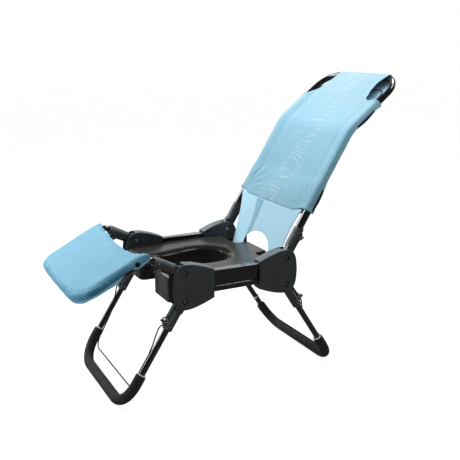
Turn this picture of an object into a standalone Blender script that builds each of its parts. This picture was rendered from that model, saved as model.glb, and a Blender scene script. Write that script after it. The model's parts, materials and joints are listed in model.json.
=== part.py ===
"""Bath chair on folding legs, with a reclining back and a calf rest.

A moulded seat with a commode opening rests on two side rails.  The rails end in
four hubs.  Each hub is two shells round two toothed discs, and holds the sockets
of two swinging frames: calf rest and front legs in front, back and rear legs
behind.  Each frame is a bent tube, and is released by a wire bail whose two
sliding triggers carry the pawls.

Metres.  +X is the sitter's left, +Y points behind the chair, +Z is up, and the
floor is Z = 0.
"""

import math

import bmesh
import bpy
from mathutils import Matrix, Vector

# Layout
PIVOT_SPAN = 0.340        # front pivots to rear pivots
PIVOT_DROP = 0.0847       # upper pivots to lower pivots
TRACK = 0.400             # between the middles of the left and right hubs
SEAT_MID_Y = -0.0628      # middle of the seat, from the middle of the whole chair

# Angles at rest, in degrees
LEG_SPLAY = 33.0          # legs, out from straight down
CALF_RISE = 27.4          # calf sockets, up from level
CALF_DROOP = 27.0         # calf pad, down from level
BACK_RISE = 58.2          # lower back tubes, up from level
BACK_UPPER_RISE = 38.2    # upper back tubes, up from level

# Swings from rest that the hub openings leave free, in degrees
CALF_LIFT = 15.0
BACK_FORWARD = 15.0
FRONT_LEG_FOLD = 93.0
REAR_LEG_TUCK = 12.0

# Clearances
GAP = 0.0003              # between pieces that touch
RUN = 0.0004              # between pieces that slide or turn
PAWL_CLEAR = 0.0007       # between a pawl and the crest of its teeth
SWING_CLEAR = 0.002       # between a swinging arm and the rim of its hub
DISC_CLEAR = 0.0007       # between a toothed disc and the rim of its hub

# Tubes and wires
TUBE_R = 0.0096           # leg, calf and upper back tubes
LOWER_TUBE_R = 0.0125     # lower back tubes
CROSS_TUBE_R = 0.008
WIRE_R = 0.0021
WIRE_INSET = 0.0205       # wire, inboard of the tube's middle
BAIL_FROM_BAR = 0.058     # cross wire, inside a frame's end bar
BAIL_CORNER = 0.030

# Hubs
HUB_THICK = 0.038
HUB_WALL = 0.0026
HUB_TAIL = 0.094          # from the pivots to the rail side
HUB_NOSE = 0.039          # from the pivots to the nose
HUB_CROWN = 0.027         # above the upper pivots, and below the lower ones
HUB_SEAM = 0.0003         # between the two shells of a hub
HUB_ROUND = 0.0028        # rounding of the outer edges
BOSS_R = 0.0120
BOSS_HIGH = 0.0025
BOLT_R = 0.0040
BOLT_HEAD_R = 0.0060
COUNTERBORE_R = 0.0088
NOTCH_LONG = 0.014        # slot in the crown of a hub's inner shell
NOTCH_WIDE = 0.005
NOTCH_AT = 0.016          # slot's middle, from the pivot towards the rail

# Toothed discs
TEETH = 18
TOOTH_DEEP = 0.0026
DISC_THICK = 0.0112

# Sockets
SOCKET_R = 0.0150
SOCKET_START = 0.030      # where a socket's full section starts, from the pivot
SOCKET_END = 0.099
SOCKET_BITE = 0.050       # where its bore ends
SOCKET_ROUND = 0.0015
LUG_R = 0.0200
LUG_NECK = 0.0130

# Triggers
TRIGGER_WIDE = 0.016
TRIGGER_THICK = 0.0042
TRIGGER_END = 0.090
HOOK_AT = 0.081
HOOK_OUT = 0.0165

# Legs
LEG_REACH = 0.3565        # lower pivot to the middle of the foot bar
LEG_BEND = 0.075
SLEEVE_R = 0.0160
SLEEVE_TAIL = 0.0315      # straight length of the foam above the bend
REAR_SLEEVE_SLIP = 0.026  # the rear sleeve starts this much lower on the right
FOOT_FLAT = 0.0005        # foam pressed flat on the floor

# Back
BACK_LOWER = 0.442        # upper pivot to the bend
BACK_UPPER = 0.245        # bend to the top bar
BACK_BEND = 0.110
BACK_CORNER = 0.085
BACK_JOINT = 0.235        # upper end of the lower tubes
BACK_PLUG = 0.040         # length of an upper tube that stands in a lower one

# Calf rest
CALF_KNEE = 0.118         # upper pivot to the knee
CALF_LONG = 0.231         # knee to the pad's outer edge
CALF_BEND = 0.028
CALF_CORNER = 0.070
PAD_HALF_THICK = 0.0165
PAD_WALL = 0.0028
PAD_OVERHANG = 0.0148     # pad's side, outboard of the tube's middle
PAD_SCOOP = 0.058         # hollow of the knee edge
PAD_CORNER = 0.074
PAD_UNDERCUT = 0.028      # the underside starts this much later than the top
PAD_WIRE_CLEAR = 0.040    # cross wire, inside the calf tube's end bar

# Fabric
CLOTH = 0.0021
CLOTH_CLEAR = 0.0005
COVER_HEM = 0.152         # lower hem of the sleeve, from the upper pivot
COVER_CUFF = 0.129        # upper hem of the sleeve, from the bend
FLAP_HALF = 0.121         # half the width of the flap over the top bar
FLAP_FLARE = 0.040        # the flap is this much wider at the sleeve, on each side
COVER_WAIST = 0.0045      # the panels draw together between the tubes
PANEL_HALF_LOW = 0.147
PANEL_HALF_HIGH = 0.185
PANEL_LAP = 0.004         # the lower panel reaches this far into the sleeve
FOOT_RADIUS = 0.060       # the panel's foot stays this near the rear pivots
ARCH_HALF = 0.080
ARCH_HIGH = 0.048         # above the seat

# Seat, about its own middle
SEAT_DROP = 0.0185        # top of the seat, below the upper pivots
SEAT_FRONT = 0.205
SEAT_REAR = 0.190         # the tongue between the panel's feet
SEAT_CUT = 0.141          # the rear corners, beside the tongue
TONGUE_HALF = 0.068
SEAT_WALL = 0.0034
SEAT_SKIRT = 0.014
EAR_SKIRT = 0.078         # depth of the two front aprons
HOLE_SKIRT = 0.062
EDGE_ROLL = 0.006
EAR_ROLL = 0.015
RIM_ROLL = 0.033          # width of the rolled rim round the opening
RIM_DROP = 0.016
CHANNEL_HALF = 0.052
CHANNEL_WIDENS = (-0.125, -0.020)
HOLE_HALF = 0.074
HOLE_REAR = 0.066
HOLE_WIDEST_Y = -0.006
EAR_CORNER = 0.020
REAR_CORNER = 0.012
CUT_CORNER = 0.014        # inner corners beside the tongue
APRON_FROM = -0.115       # the aprons start here and are at full depth at APRON_FULL
APRON_FULL = -0.165
RIM_FULL = -0.140         # the rim has its full roll from here
NECK = (-0.150, -0.060)   # the channel's walls rise from the aprons to the opening's

# Rails
RAIL_WIDE = 0.025
RAIL_TALL = 0.066
RAIL_DROP = 0.0050        # top of the rail, below the upper pivots
RAIL_GROOVE = 0.0032
RAIL_FLANGE = 0.0145
RAIL_EDGE = 0.0016
RAIL_INTO_HUB = 0.034
LEDGE_WIDE = 0.0060
LEDGE_THICK = 0.0035

# Values worked out from the ones above
HALF_TRACK = TRACK / 2
HUB_HALF = HUB_THICK / 2
SLEEVE_FROM = LEG_REACH - LEG_BEND - SLEEVE_TAIL
LOWER_Z = LEG_REACH * math.cos(math.radians(LEG_SPLAY)) + SLEEVE_R - FOOT_FLAT
UPPER_Z = LOWER_Z + PIVOT_DROP
FRONT_Y = SEAT_MID_Y - PIVOT_SPAN / 2
REAR_Y = SEAT_MID_Y + PIVOT_SPAN / 2
INNER_FACE = HALF_TRACK - HUB_HALF
INNER_WALL = INNER_FACE + HUB_WALL
OUTER_WALL = HALF_TRACK + HUB_HALF - HUB_WALL
DISC_X = INNER_WALL + BOSS_HIGH + GAP
TOOTH_TIP_R = HUB_CROWN - HUB_WALL - DISC_CLEAR
LUG_X = (DISC_X + DISC_THICK + RUN, OUTER_WALL - BOSS_HIGH - RUN)
SEAT_TOP = UPPER_Z - SEAT_DROP
SEAT_REAR_Y = SEAT_MID_Y + SEAT_REAR
RAIL_TOP = UPPER_Z - RAIL_DROP
LEDGE_TOP = SEAT_TOP - SEAT_SKIRT - GAP
HUB_SPACE = PIVOT_SPAN / 2 - HUB_TAIL
BACK_TOP = BACK_LOWER + BACK_UPPER
BACK_LEAN = BACK_RISE - BACK_UPPER_RISE
CALF_LEAN = CALF_RISE + CALF_DROOP
TRIGGER_LOW = SOCKET_R + RUN
TRIGGER_MID = TRIGGER_LOW + TRIGGER_THICK / 2

# Colours as the surfaces show them, with roughness and metallic value
FINISHES = {
    "hub_plastic": ((0.022, 0.026, 0.029), 0.42, 0.0),
    "seat_plastic": ((0.055, 0.055, 0.048), 0.38, 0.0),
    "black_tube": ((0.006, 0.006, 0.006), 0.22, 0.6),
    "rail_anodised": ((0.007, 0.007, 0.007), 0.25, 0.7),
    "foam": ((0.012, 0.011, 0.010), 0.85, 0.0),
    "steel": ((0.45, 0.42, 0.38), 0.30, 1.0),
    "wire_black": ((0.008, 0.008, 0.008), 0.35, 0.4),
    "nylon": ((0.10, 0.10, 0.10), 0.45, 0.0),
    "mesh_fabric": ((0.33, 0.61, 0.75), 0.80, 0.0),
    "pad_fabric": ((0.28, 0.58, 0.73), 0.85, 0.0),
}


def clear_scene():
    for thing in list(bpy.data.objects):
        bpy.data.objects.remove(thing)


def make_material(name):
    colour, roughness, metallic = FINISHES[name]
    material = bpy.data.materials.new(name)
    material.use_nodes = True
    shader = material.node_tree.nodes["Principled BSDF"]
    shader.inputs["Base Color"].default_value = (*colour, 1.0)
    shader.inputs["Roughness"].default_value = roughness
    shader.inputs["Metallic"].default_value = metallic
    return material


class Workshop:
    """The collections and materials that the pieces go into."""

    def __init__(self):
        self.chair = bpy.data.collections.new("bath_chair")
        self.cutters = bpy.data.collections.new("cutters")
        bpy.context.scene.collection.children.link(self.chair)
        bpy.context.scene.collection.children.link(self.cutters)
        self.materials = {name: make_material(name) for name in FINISHES}

    def axis(self, name, y, z, tilt=0.0):
        """An empty on a joint's axis, which the moving pieces hang from."""
        empty = bpy.data.objects.new(name, None)
        empty.location = (0.0, y, z)
        empty.rotation_euler.x = tilt
        self.chair.objects.link(empty)
        return empty

    def piece(self, name, data, finish, parent=None, at=(0.0, 0.0, 0.0)):
        """Add a mesh or a curve as one sub-part."""
        piece = bpy.data.objects.new(name, data)
        data.materials.clear()
        data.materials.append(self.materials[finish])
        piece.parent = parent
        piece.location = at
        self.chair.objects.link(piece)
        if piece.type == "MESH":
            data.shade_smooth()
            data.set_sharp_from_angle(angle=math.radians(38))
        return piece

    def join(self, piece, mesh, operation):
        """Cut away or add a closed mesh, given in the piece's own space."""
        other = bpy.data.objects.new(piece.name + "_cutter", mesh)
        other.parent = piece.parent
        other.location = piece.location
        other.hide_render = True
        other.display_type = "WIRE"
        self.cutters.objects.link(other)
        step = piece.modifiers.new(operation.lower(), "BOOLEAN")
        step.operation = operation
        step.solver = "EXACT"
        step.object = other

    def mirrored(self, piece, name, finish):
        """The same piece for the other side of the chair, across X = 0."""
        shape = bmesh.new()
        shape.from_mesh(evaluated_mesh(piece))
        shape.transform(Matrix.Scale(-1, 4, (1, 0, 0)))
        x, y, z = piece.location
        return self.piece(name, solid(shape), finish, piece.parent, (-x, y, z))

    def pair(self, piece, finish):
        """Name a left piece, and add the right one."""
        name = piece.name
        piece.name = name + "_left"
        self.mirrored(piece, name + "_right", finish)


# Ways of making a shape


def evaluated_mesh(piece):
    bpy.context.view_layer.update()
    graph = bpy.context.evaluated_depsgraph_get()
    return bpy.data.meshes.new_from_object(piece.evaluated_get(graph))


def baked(name, data, set_up=None):
    """Evaluate a curve, or a mesh with modifiers, and weld it into a bmesh."""
    holder = bpy.data.objects.new(name, data)
    bpy.context.scene.collection.objects.link(holder)
    if set_up:
        set_up(holder)
    shape = bmesh.new()
    shape.from_mesh(evaluated_mesh(holder))
    bpy.data.objects.remove(holder)
    bmesh.ops.remove_doubles(shape, verts=shape.verts, dist=0.00001)
    return shape


def solid(shape):
    """Turn a closed bmesh into a mesh whose faces point outwards."""
    shape.normal_update()
    bmesh.ops.recalc_face_normals(shape, faces=shape.faces)
    mesh = bpy.data.meshes.new("solid")
    shape.to_mesh(mesh)
    shape.free()
    return mesh


def merged(shapes):
    """Several separate bodies in one mesh, for a cutter."""
    whole = bmesh.new()
    for shape in shapes:
        single = solid(shape)
        whole.from_mesh(single)
        bpy.data.meshes.remove(single)
    return solid(whole)


def extruded(outlines, low, high):
    """A flat outline of (a, b) pairs extruded from low to high along the third axis.

    The first outline is the edge and the others are holes.
    """
    data = bpy.data.curves.new("outline", "CURVE")
    data.dimensions = "2D"
    data.fill_mode = "BOTH"
    data.extrude = (high - low) / 2
    for outline in outlines:
        line = data.splines.new("POLY")
        line.points.add(len(outline) - 1)
        line.use_cyclic_u = True
        for point, (a, b) in zip(line.points, outline):
            point.co = (a, b, 0.0, 1.0)
    shape = baked("outline", data)
    bmesh.ops.dissolve_limit(shape, angle_limit=0.002, verts=shape.verts, edges=shape.edges)
    shape.transform(Matrix.Translation((0, 0, (low + high) / 2)))
    return shape


def across(shape):
    """Turn a shape so that its third axis lies along X, and its first two along Y and Z."""
    shape.transform(Matrix(((0, 0, 1, 0), (1, 0, 0, 0), (0, 1, 0, 0), (0, 0, 0, 1))))
    return shape


def lengthwise(shape):
    """Turn a shape so that its second axis points up and its third to the front."""
    shape.transform(Matrix.Rotation(math.radians(90), 4, "X"))
    return shape


def plate(outline, low, high, holes=()):
    """An outline of (y, z) pairs as a solid from x = low to x = high."""
    return across(extruded([outline, *holes], low, high))


def turned(profile, sides):
    """Turn a profile of (radius, height) pairs round Z."""
    data = bpy.data.meshes.new("profile")
    links = [(i, i + 1) for i in range(len(profile) - 1)]
    data.from_pydata([(radius, 0.0, height) for radius, height in profile], links, [])

    def add_screw(holder):
        screw = holder.modifiers.new("turn", "SCREW")
        screw.steps = sides
        screw.render_steps = sides
        screw.use_merge_vertices = True
        screw.merge_threshold = 0.00001

    return baked("profile", data, add_screw)


def rod(radius, low, high, sides, y=0.0, z=0.0):
    """A cylinder along X."""
    shape = bmesh.new()
    bmesh.ops.create_cone(shape, cap_ends=True, segments=sides, radius1=radius,
                          radius2=radius, depth=high - low)
    across(shape)
    shape.transform(Matrix.Translation(((low + high) / 2, y, z)))
    return shape


def box(low, high):
    shape = bmesh.new()
    bmesh.ops.create_cube(shape, size=1.0)
    shape.transform(Matrix.Diagonal((*(Vector(high) - Vector(low)), 1)))
    shape.transform(Matrix.Translation((Vector(high) + Vector(low)) / 2))
    return shape


def tube(points, radius, resolution):
    """A round tube along the points, as a curve."""
    data = bpy.data.curves.new("path", "CURVE")
    data.dimensions = "3D"
    data.bevel_depth = radius
    data.bevel_resolution = resolution
    data.use_fill_caps = True
    line = data.splines.new("POLY")
    line.points.add(len(points) - 1)
    for place, point in zip(line.points, points):
        place.co = (*point, 1.0)
    return data


def surface(rows):
    """An open surface through rows of equally many points."""
    shape = bmesh.new()
    verts = [[shape.verts.new(point) for point in row] for row in rows]
    for low, high in zip(verts, verts[1:]):
        for a, b, c, d in zip(low, low[1:], high[1:], high):
            shape.faces.new((a, b, c, d))
    return shape


def smooth(points, steps):
    """Points on a smooth curve through the given ones."""
    first = 2 * Vector(points[0]) - Vector(points[1])
    last = 2 * Vector(points[-1]) - Vector(points[-2])
    knots = [first] + [Vector(point) for point in points] + [last]
    result = []
    for a, b, c, d in zip(knots, knots[1:], knots[2:], knots[3:]):
        for k in range(steps):
            t = k / steps
            result.append(0.5 * (2 * b + (c - a) * t + (2 * a - 5 * b + 4 * c - d) * t ** 2
                                 + (3 * b - a - 3 * c + d) * t ** 3))
    result.append(Vector(points[-1]))
    return result


def arc(centre, radius, start, end, steps):
    """Points (a, b) on an arc, angles in degrees."""
    turns = [math.radians(start + (end - start) * k / steps) for k in range(steps + 1)]
    return [(centre[0] + radius * math.cos(t), centre[1] + radius * math.sin(t)) for t in turns]


def circle(centre, radius, sides):
    return arc(centre, radius, 0, 360 - 360 / sides, sides - 1)


def grown(points, grow):
    """Move a closed clockwise outline outwards, keeping its corners."""
    moved = []
    for i, point in enumerate(points):
        here = Vector(point)
        before = (here - Vector(points[i - 1])).normalized()
        after = (Vector(points[(i + 1) % len(points)]) - here).normalized()
        normal = Vector((-before.y - after.y, before.x + after.x)).normalized()
        reach = grow / max(0.5, normal.dot(Vector((-after.y, after.x))))
        moved.append(tuple(here + normal * reach))
    return moved


def clear_of(radius, sides):
    """Radius of a faceted bore that leaves the whole round radius free."""
    return radius / math.cos(math.pi / sides)


def bolt_hole():
    return clear_of(BOLT_R + GAP, 8)


def ease(value, low, high):
    """0 below low, 1 above high, and a smooth step between."""
    t = min(1.0, max(0.0, (value - low) / (high - low)))
    return t * t * (3 - 2 * t)


# Swinging frames, in their own space: X across, Z along the arm, Y out


class Arm:
    """A swinging frame's axis, turned along the arm; its triggers are on the side given."""

    def __init__(self, shop, name, y, z, rise, side):
        self.name = name
        self.side = side
        self.tilt = math.radians(rise - 90)
        self.axis = shop.axis(name + "_axis", y, z, self.tilt)

    def points(self, path):
        """Points (x, out, along) in the frame's space."""
        return [(x, self.side * out, along) for x, out, along in path]

    def mesh(self, shape):
        """A shape whose Y points out on the triggers' side, as a mesh in the frame's space."""
        shape.transform(Matrix.Scale(self.side, 4, (0, 1, 0)))
        return solid(shape)

    def level(self, shape):
        """A shape given about the axis, square to the floor, as a mesh in the frame's space."""
        shape.transform(Matrix.Rotation(-self.tilt, 4, "X"))
        return solid(shape)


def leaned(point, start, lean):
    """Turn a point about the frame's bend at start, towards the triggers."""
    x, out, along = point
    angle = math.radians(lean)
    far = along - start
    return (x, out * math.cos(angle) + far * math.sin(angle),
            start + far * math.cos(angle) - out * math.sin(angle))


def bend_points(x, at, lean, radius, steps):
    """Points (x, out, along) round a bend in a frame, towards the triggers."""
    angle = math.radians(lean)
    back = radius * math.tan(angle / 2)
    turns = [angle * k / steps for k in range(steps + 1)]
    return [(x, radius * (1 - math.cos(t)), at - back + radius * math.sin(t)) for t in turns]


def both_sides(half):
    """A path from the left end to the middle, carried on to the right end."""
    return half + [(-x, out, along) for x, out, along in reversed(half)]


def make_socket(shop, arm, tube_r):
    """Sockets: a lug on the pivot bolt, and a bored sleeve for the tube's end."""
    sides = 12
    bore = clear_of(tube_r + GAP, sides)
    profile = [(0.0, SOCKET_START), (SOCKET_R - 2 * SOCKET_ROUND, SOCKET_START),
               (SOCKET_R, SOCKET_START + 2 * SOCKET_ROUND), (SOCKET_R, SOCKET_END - SOCKET_ROUND),
               (SOCKET_R - SOCKET_ROUND, SOCKET_END), (bore, SOCKET_END),
               (bore, SOCKET_BITE), (0.0, SOCKET_BITE)]
    socket = shop.piece(arm.name + "_socket", solid(turned(profile, sides)), "hub_plastic",
                        arm.axis, (HALF_TRACK, 0, 0))
    tail = SOCKET_START + 0.008
    neck = LUG_R * 0.8
    outline = [(LUG_NECK, tail), (-LUG_NECK, tail), (-LUG_NECK, neck)]
    outline += arc((0, 0), LUG_R, 180, 360, 6) + [(LUG_NECK, neck)]
    hole = circle((0, 0), bolt_hole(), 8)
    low, high = (x - HALF_TRACK for x in LUG_X)
    shop.join(socket, solid(plate(outline, low, high, [hole])), "UNION")
    shop.pair(socket, "hub_plastic")


def make_trigger(shop, arm):
    """Sliding bars on the sockets, each with a pawl at the hub end and a finger hook."""
    low = TRIGGER_LOW
    high = low + TRIGGER_THICK
    reach = TOOTH_TIP_R + PAWL_CLEAR
    start = math.sqrt(reach ** 2 - low ** 2)
    tip = HOOK_AT
    outline = [(low, start), (low, TRIGGER_END), (high, TRIGGER_END),
               (high + 0.0006, tip + 0.0035), (high + 0.0045, tip + 0.0018),
               (low + HOOK_OUT - 0.0006, tip + 0.0016), (low + HOOK_OUT, tip - 0.0012),
               (high + 0.0050, tip - 0.0045), (high + 0.0012, tip - 0.0130),
               (high, tip - 0.0250), (high, start + TRIGGER_THICK / 2)]
    half = TRIGGER_WIDE / 2
    trigger = shop.piece(arm.name + "_trigger", arm.mesh(plate(outline, -half, half)), "nylon",
                         arm.axis, (HALF_TRACK, 0, 0))
    shop.pair(trigger, "nylon")


def bail_lead(run_out):
    """Wire from a trigger's end, a quarter turn round the tube, to its inner side."""
    lead = [(HALF_TRACK, TRIGGER_MID, TRIGGER_END + GAP),
            (HALF_TRACK, TRIGGER_MID, SOCKET_END + 0.002)]
    for k in range(1, 5):
        turn = math.radians(90 * k / 4)
        reach = TRIGGER_MID + (WIRE_INSET - TRIGGER_MID) * k / 4
        lead.append((HALF_TRACK - reach * math.sin(turn), reach * math.cos(turn),
                     SOCKET_END + 0.006 + run_out * k / 4))
    return lead


def bail_corner(far):
    """Rounded corner of the bail, in the frame's plane."""
    centre = (HALF_TRACK - WIRE_INSET - BAIL_CORNER, far - BAIL_CORNER)
    return [(x, 0.0, along) for x, along in arc(centre, BAIL_CORNER, 0, 90, 4)]


def make_bail(shop, arm, half):
    data = tube(arm.points(both_sides(half)), WIRE_R, 1)
    shop.piece(arm.name + "_bail_wire", data, "wire_black", arm.axis)


def leg_path(start, slip=0.0):
    """U-shaped path of a leg frame from start; slip lowers the right end."""
    corner = arc((HALF_TRACK - LEG_BEND, LEG_REACH - LEG_BEND), LEG_BEND, 0, 90, 6)
    path = both_sides([(HALF_TRACK, 0.0, start)] + [(x, 0.0, along) for x, along in corner])
    path[-1] = (-HALF_TRACK, 0.0, start + slip)
    return path


def make_leg(shop, arm, slip):
    """One leg frame: sockets, tube, foam sleeve with a flat foot, triggers and bail."""
    make_socket(shop, arm, TUBE_R)
    shop.piece(arm.name + "_tube", tube(leg_path(SOCKET_BITE + GAP), TUBE_R, 3), "black_tube",
               arm.axis)
    outer = baked("sleeve", tube(leg_path(SLEEVE_FROM, slip), SLEEVE_R, 4))
    sleeve = shop.piece(arm.name + "_foam_sleeve", solid(outer), "foam", arm.axis)
    bore = baked("bore", tube(leg_path(SLEEVE_FROM - 0.02, slip), TUBE_R + GAP, 3))
    shop.join(sleeve, solid(bore), "DIFFERENCE")
    floor = box((-TRACK, -LEG_REACH, -LOWER_Z - 0.02), (TRACK, LEG_REACH, -LOWER_Z))
    shop.join(sleeve, arm.level(floor), "DIFFERENCE")
    make_trigger(shop, arm)
    make_bail(shop, arm, bail_lead(0.050) + bail_corner(LEG_REACH - BAIL_FROM_BAR))


# Hubs, in (towards the nose, up) pairs about the upper pivot


def hub_outline(grow=0.0):
    """Clockwise outline of a hub: a flat rail side, a long crown and a round nose."""
    upper = smooth([(-HUB_TAIL, 0.0015), (-0.68 * HUB_TAIL, 0.50 * HUB_CROWN),
                    (-0.32 * HUB_TAIL, 0.88 * HUB_CROWN), (0.03 * HUB_NOSE, HUB_CROWN),
                    (0.58 * HUB_NOSE, 0.70 * HUB_CROWN), (0.90 * HUB_NOSE, -0.15 * HUB_CROWN),
                    (HUB_NOSE, -PIVOT_DROP / 2)], 2)
    lower = [(point.x, -PIVOT_DROP - point.y) for point in reversed(upper[:-1])]
    return grown([(point.x, point.y) for point in upper] + lower, grow)


def rim_height(nose):
    """Height of the hub's crown above the pivot, at a distance towards the nose."""
    points = hub_outline(-HUB_WALL)
    for (a, low), (b, high) in zip(points, points[1:]):
        if a <= nose <= b:
            return low + (high - low) * (nose - a) / (b - a)
    return HUB_CROWN


def rim_edge(turn):
    """Where a rim stops for an arm turned this many degrees from straight up or down."""
    angle = math.radians(turn)
    half = (SOCKET_R + SWING_CLEAR) / math.cos(angle)
    edge = 0.0
    for _ in range(30):
        edge = rim_height(edge) * math.tan(angle) - half
    return edge


def along_nose(points, nose):
    """Point an outline's nose to the front or to the rear."""
    return [(nose * a, b) for a, b in points]


def hub_opening(top_edge, low_edge):
    """Outline of what the arms need: the rim from top_edge round the nose to low_edge."""
    far = HUB_NOSE + 0.03
    high = HUB_CROWN + 0.02
    return [(top_edge, -HUB_WALL), (top_edge, high), (far, high), (far, -PIVOT_DROP - high),
            (low_edge, -PIVOT_DROP - high), (low_edge, -PIVOT_DROP + HUB_WALL)]


def make_hub_shell(shop, place, axis, nose, face, edges):
    """One half of each hub; face is 1 for the outer shell and -1 for the inner one."""
    x_face = HALF_TRACK + face * HUB_HALF
    x_wall = x_face - face * HUB_WALL
    x_seam = HALF_TRACK + face * HUB_SEAM / 2
    x_past = HALF_TRACK - face * 0.004
    body = plate(along_nose(hub_outline(), nose), *sorted((x_seam, x_face)))
    body.normal_update()
    rim = [edge for edge in body.edges if all(abs(v.co.x - x_face) < GAP for v in edge.verts)]
    bmesh.ops.bevel(body, geom=rim, offset=HUB_ROUND, segments=2, profile=0.5, affect="EDGES")
    name = f"{place}_hub_{'outer' if face > 0 else 'inner'}_shell"
    shell = shop.piece(name, solid(body), "hub_plastic", axis)

    span = sorted((x_past, x_wall))
    shop.join(shell, solid(plate(along_nose(hub_outline(-HUB_WALL), nose), *span)), "DIFFERENCE")
    span = sorted((x_past, x_wall - face * GAP))
    shop.join(shell, solid(plate(along_nose(hub_opening(*edges), nose), *span)), "DIFFERENCE")
    slot_ys = sorted((nose * (-HUB_TAIL - 0.01), nose * (-HUB_TAIL + 0.02)))
    slot = box((HALF_TRACK - RAIL_WIDE / 2 - GAP, slot_ys[0], -RAIL_DROP - RAIL_TALL - GAP),
               (HALF_TRACK + RAIL_WIDE / 2 + GAP, slot_ys[1], -RAIL_DROP + GAP))
    shop.join(shell, solid(slot), "DIFFERENCE")

    heights = (0.0, -PIVOT_DROP)
    span = sorted((x_wall + face * HUB_WALL / 2, x_wall - face * BOSS_HIGH))
    shop.join(shell, merged([rod(BOSS_R, *span, 12, z=z) for z in heights]), "UNION")
    span = sorted((HALF_TRACK, x_face + face * 0.004))
    shop.join(shell, merged([rod(bolt_hole(), *span, 8, z=z) for z in heights]), "DIFFERENCE")
    span = sorted((x_wall, x_face + face * 0.004))
    shop.join(shell, merged([rod(COUNTERBORE_R, *span, 12, z=z) for z in heights]), "DIFFERENCE")
    if face < 0:
        middle = nose * -NOTCH_AT
        notch = box((x_wall, middle - NOTCH_LONG / 2, HUB_CROWN - 0.008),
                    (x_wall + NOTCH_WIDE, middle + NOTCH_LONG / 2, HUB_CROWN + 0.008))
        shop.join(shell, solid(notch), "DIFFERENCE")
    shop.pair(shell, "hub_plastic")


def make_disc(shop, name, axis, z):
    """Toothed discs, fixed to the inner shells, that the triggers' pawls lock into."""
    outline = []
    for k in range(TEETH):
        for radius, share in ((TOOTH_TIP_R - TOOTH_DEEP, 0.0), (TOOTH_TIP_R, 0.75)):
            turn = 2 * math.pi * (k + share) / TEETH
            outline.append((radius * math.cos(turn), radius * math.sin(turn)))
    body = plate(outline, 0.0, DISC_THICK, [circle((0, 0), bolt_hole(), 8)])
    disc = shop.piece(name, solid(body), "nylon", axis, (DISC_X, 0, z))
    shop.pair(disc, "nylon")


def make_bolt(shop, name, axis, z):
    """Pivot bolts, with a flat head in each face of the hub."""
    head = HUB_WALL - 2 * GAP
    half = HUB_HALF - GAP
    profile = [(0.0, half), (BOLT_HEAD_R, half), (BOLT_HEAD_R, half - head),
               (BOLT_R, half - head), (BOLT_R, head - half), (BOLT_HEAD_R, head - half),
               (BOLT_HEAD_R, -half), (0.0, -half)]
    body = across(turned(profile, 8))
    bolt = shop.piece(name, solid(body), "steel", axis, (HALF_TRACK, 0, z))
    shop.pair(bolt, "steel")


def make_hub(shop, place, y, nose, edges, upper, lower):
    axis = shop.axis(place + "_hub", y, UPPER_Z)
    for face in (1, -1):
        make_hub_shell(shop, place, axis, nose, face, edges)
    for name, z in ((upper, 0.0), (lower, -PIVOT_DROP)):
        make_disc(shop, name + "_toothed_disc", axis, z)
        make_bolt(shop, name + "_pivot_bolt", axis, z)


# Rails and seat


def make_rail(shop):
    """Extruded side rails, with a groove in the outer face and a ledge for the seat."""
    outer = RAIL_WIDE / 2
    inner = -RAIL_WIDE / 2
    low = -RAIL_TALL
    floor = outer - RAIL_GROOVE
    slope = RAIL_GROOVE * 0.6
    profile = [(inner, low), (outer - RAIL_EDGE, low), (outer, low + RAIL_EDGE),
               (outer, low + RAIL_FLANGE), (floor, low + RAIL_FLANGE + slope),
               (floor, -RAIL_FLANGE - slope), (outer, -RAIL_FLANGE), (outer, -RAIL_EDGE),
               (outer - RAIL_EDGE, 0.0), (inner + RAIL_EDGE, 0.0), (inner, -RAIL_EDGE)]
    half = HUB_SPACE + RAIL_INTO_HUB
    rail = shop.piece("side_rail", solid(lengthwise(extruded([profile], -half, half))),
                      "rail_anodised", None, (HALF_TRACK, SEAT_MID_Y, RAIL_TOP))
    top = LEDGE_TOP - RAIL_TOP
    reach = HUB_SPACE - GAP
    ledge = box((inner - LEDGE_WIDE, -reach, top - LEDGE_THICK), (inner + 0.002, reach, top))
    shop.join(rail, solid(ledge), "UNION")
    shop.pair(rail, "rail_anodised")


def cross_tube_middle():
    """The rear cross tube lies under the seat's tongue, inside the panel's feet."""
    return SEAT_REAR_Y - CROSS_TUBE_R, SEAT_TOP - SEAT_SKIRT - CROSS_TUBE_R - 0.002


def make_cross_tube(shop):
    y, z = cross_tube_middle()
    body = rod(CROSS_TUBE_R, -INNER_FACE + GAP, INNER_FACE - GAP, 12)
    shop.piece("rear_cross_tube", solid(body), "black_tube", None, (0, y, z))


def hole_half_width(y):
    """Half the width of the channel and opening at y, about the seat's middle."""
    return CHANNEL_HALF + (HOLE_HALF - CHANNEL_HALF) * ease(y, *CHANNEL_WIDENS)


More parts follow.
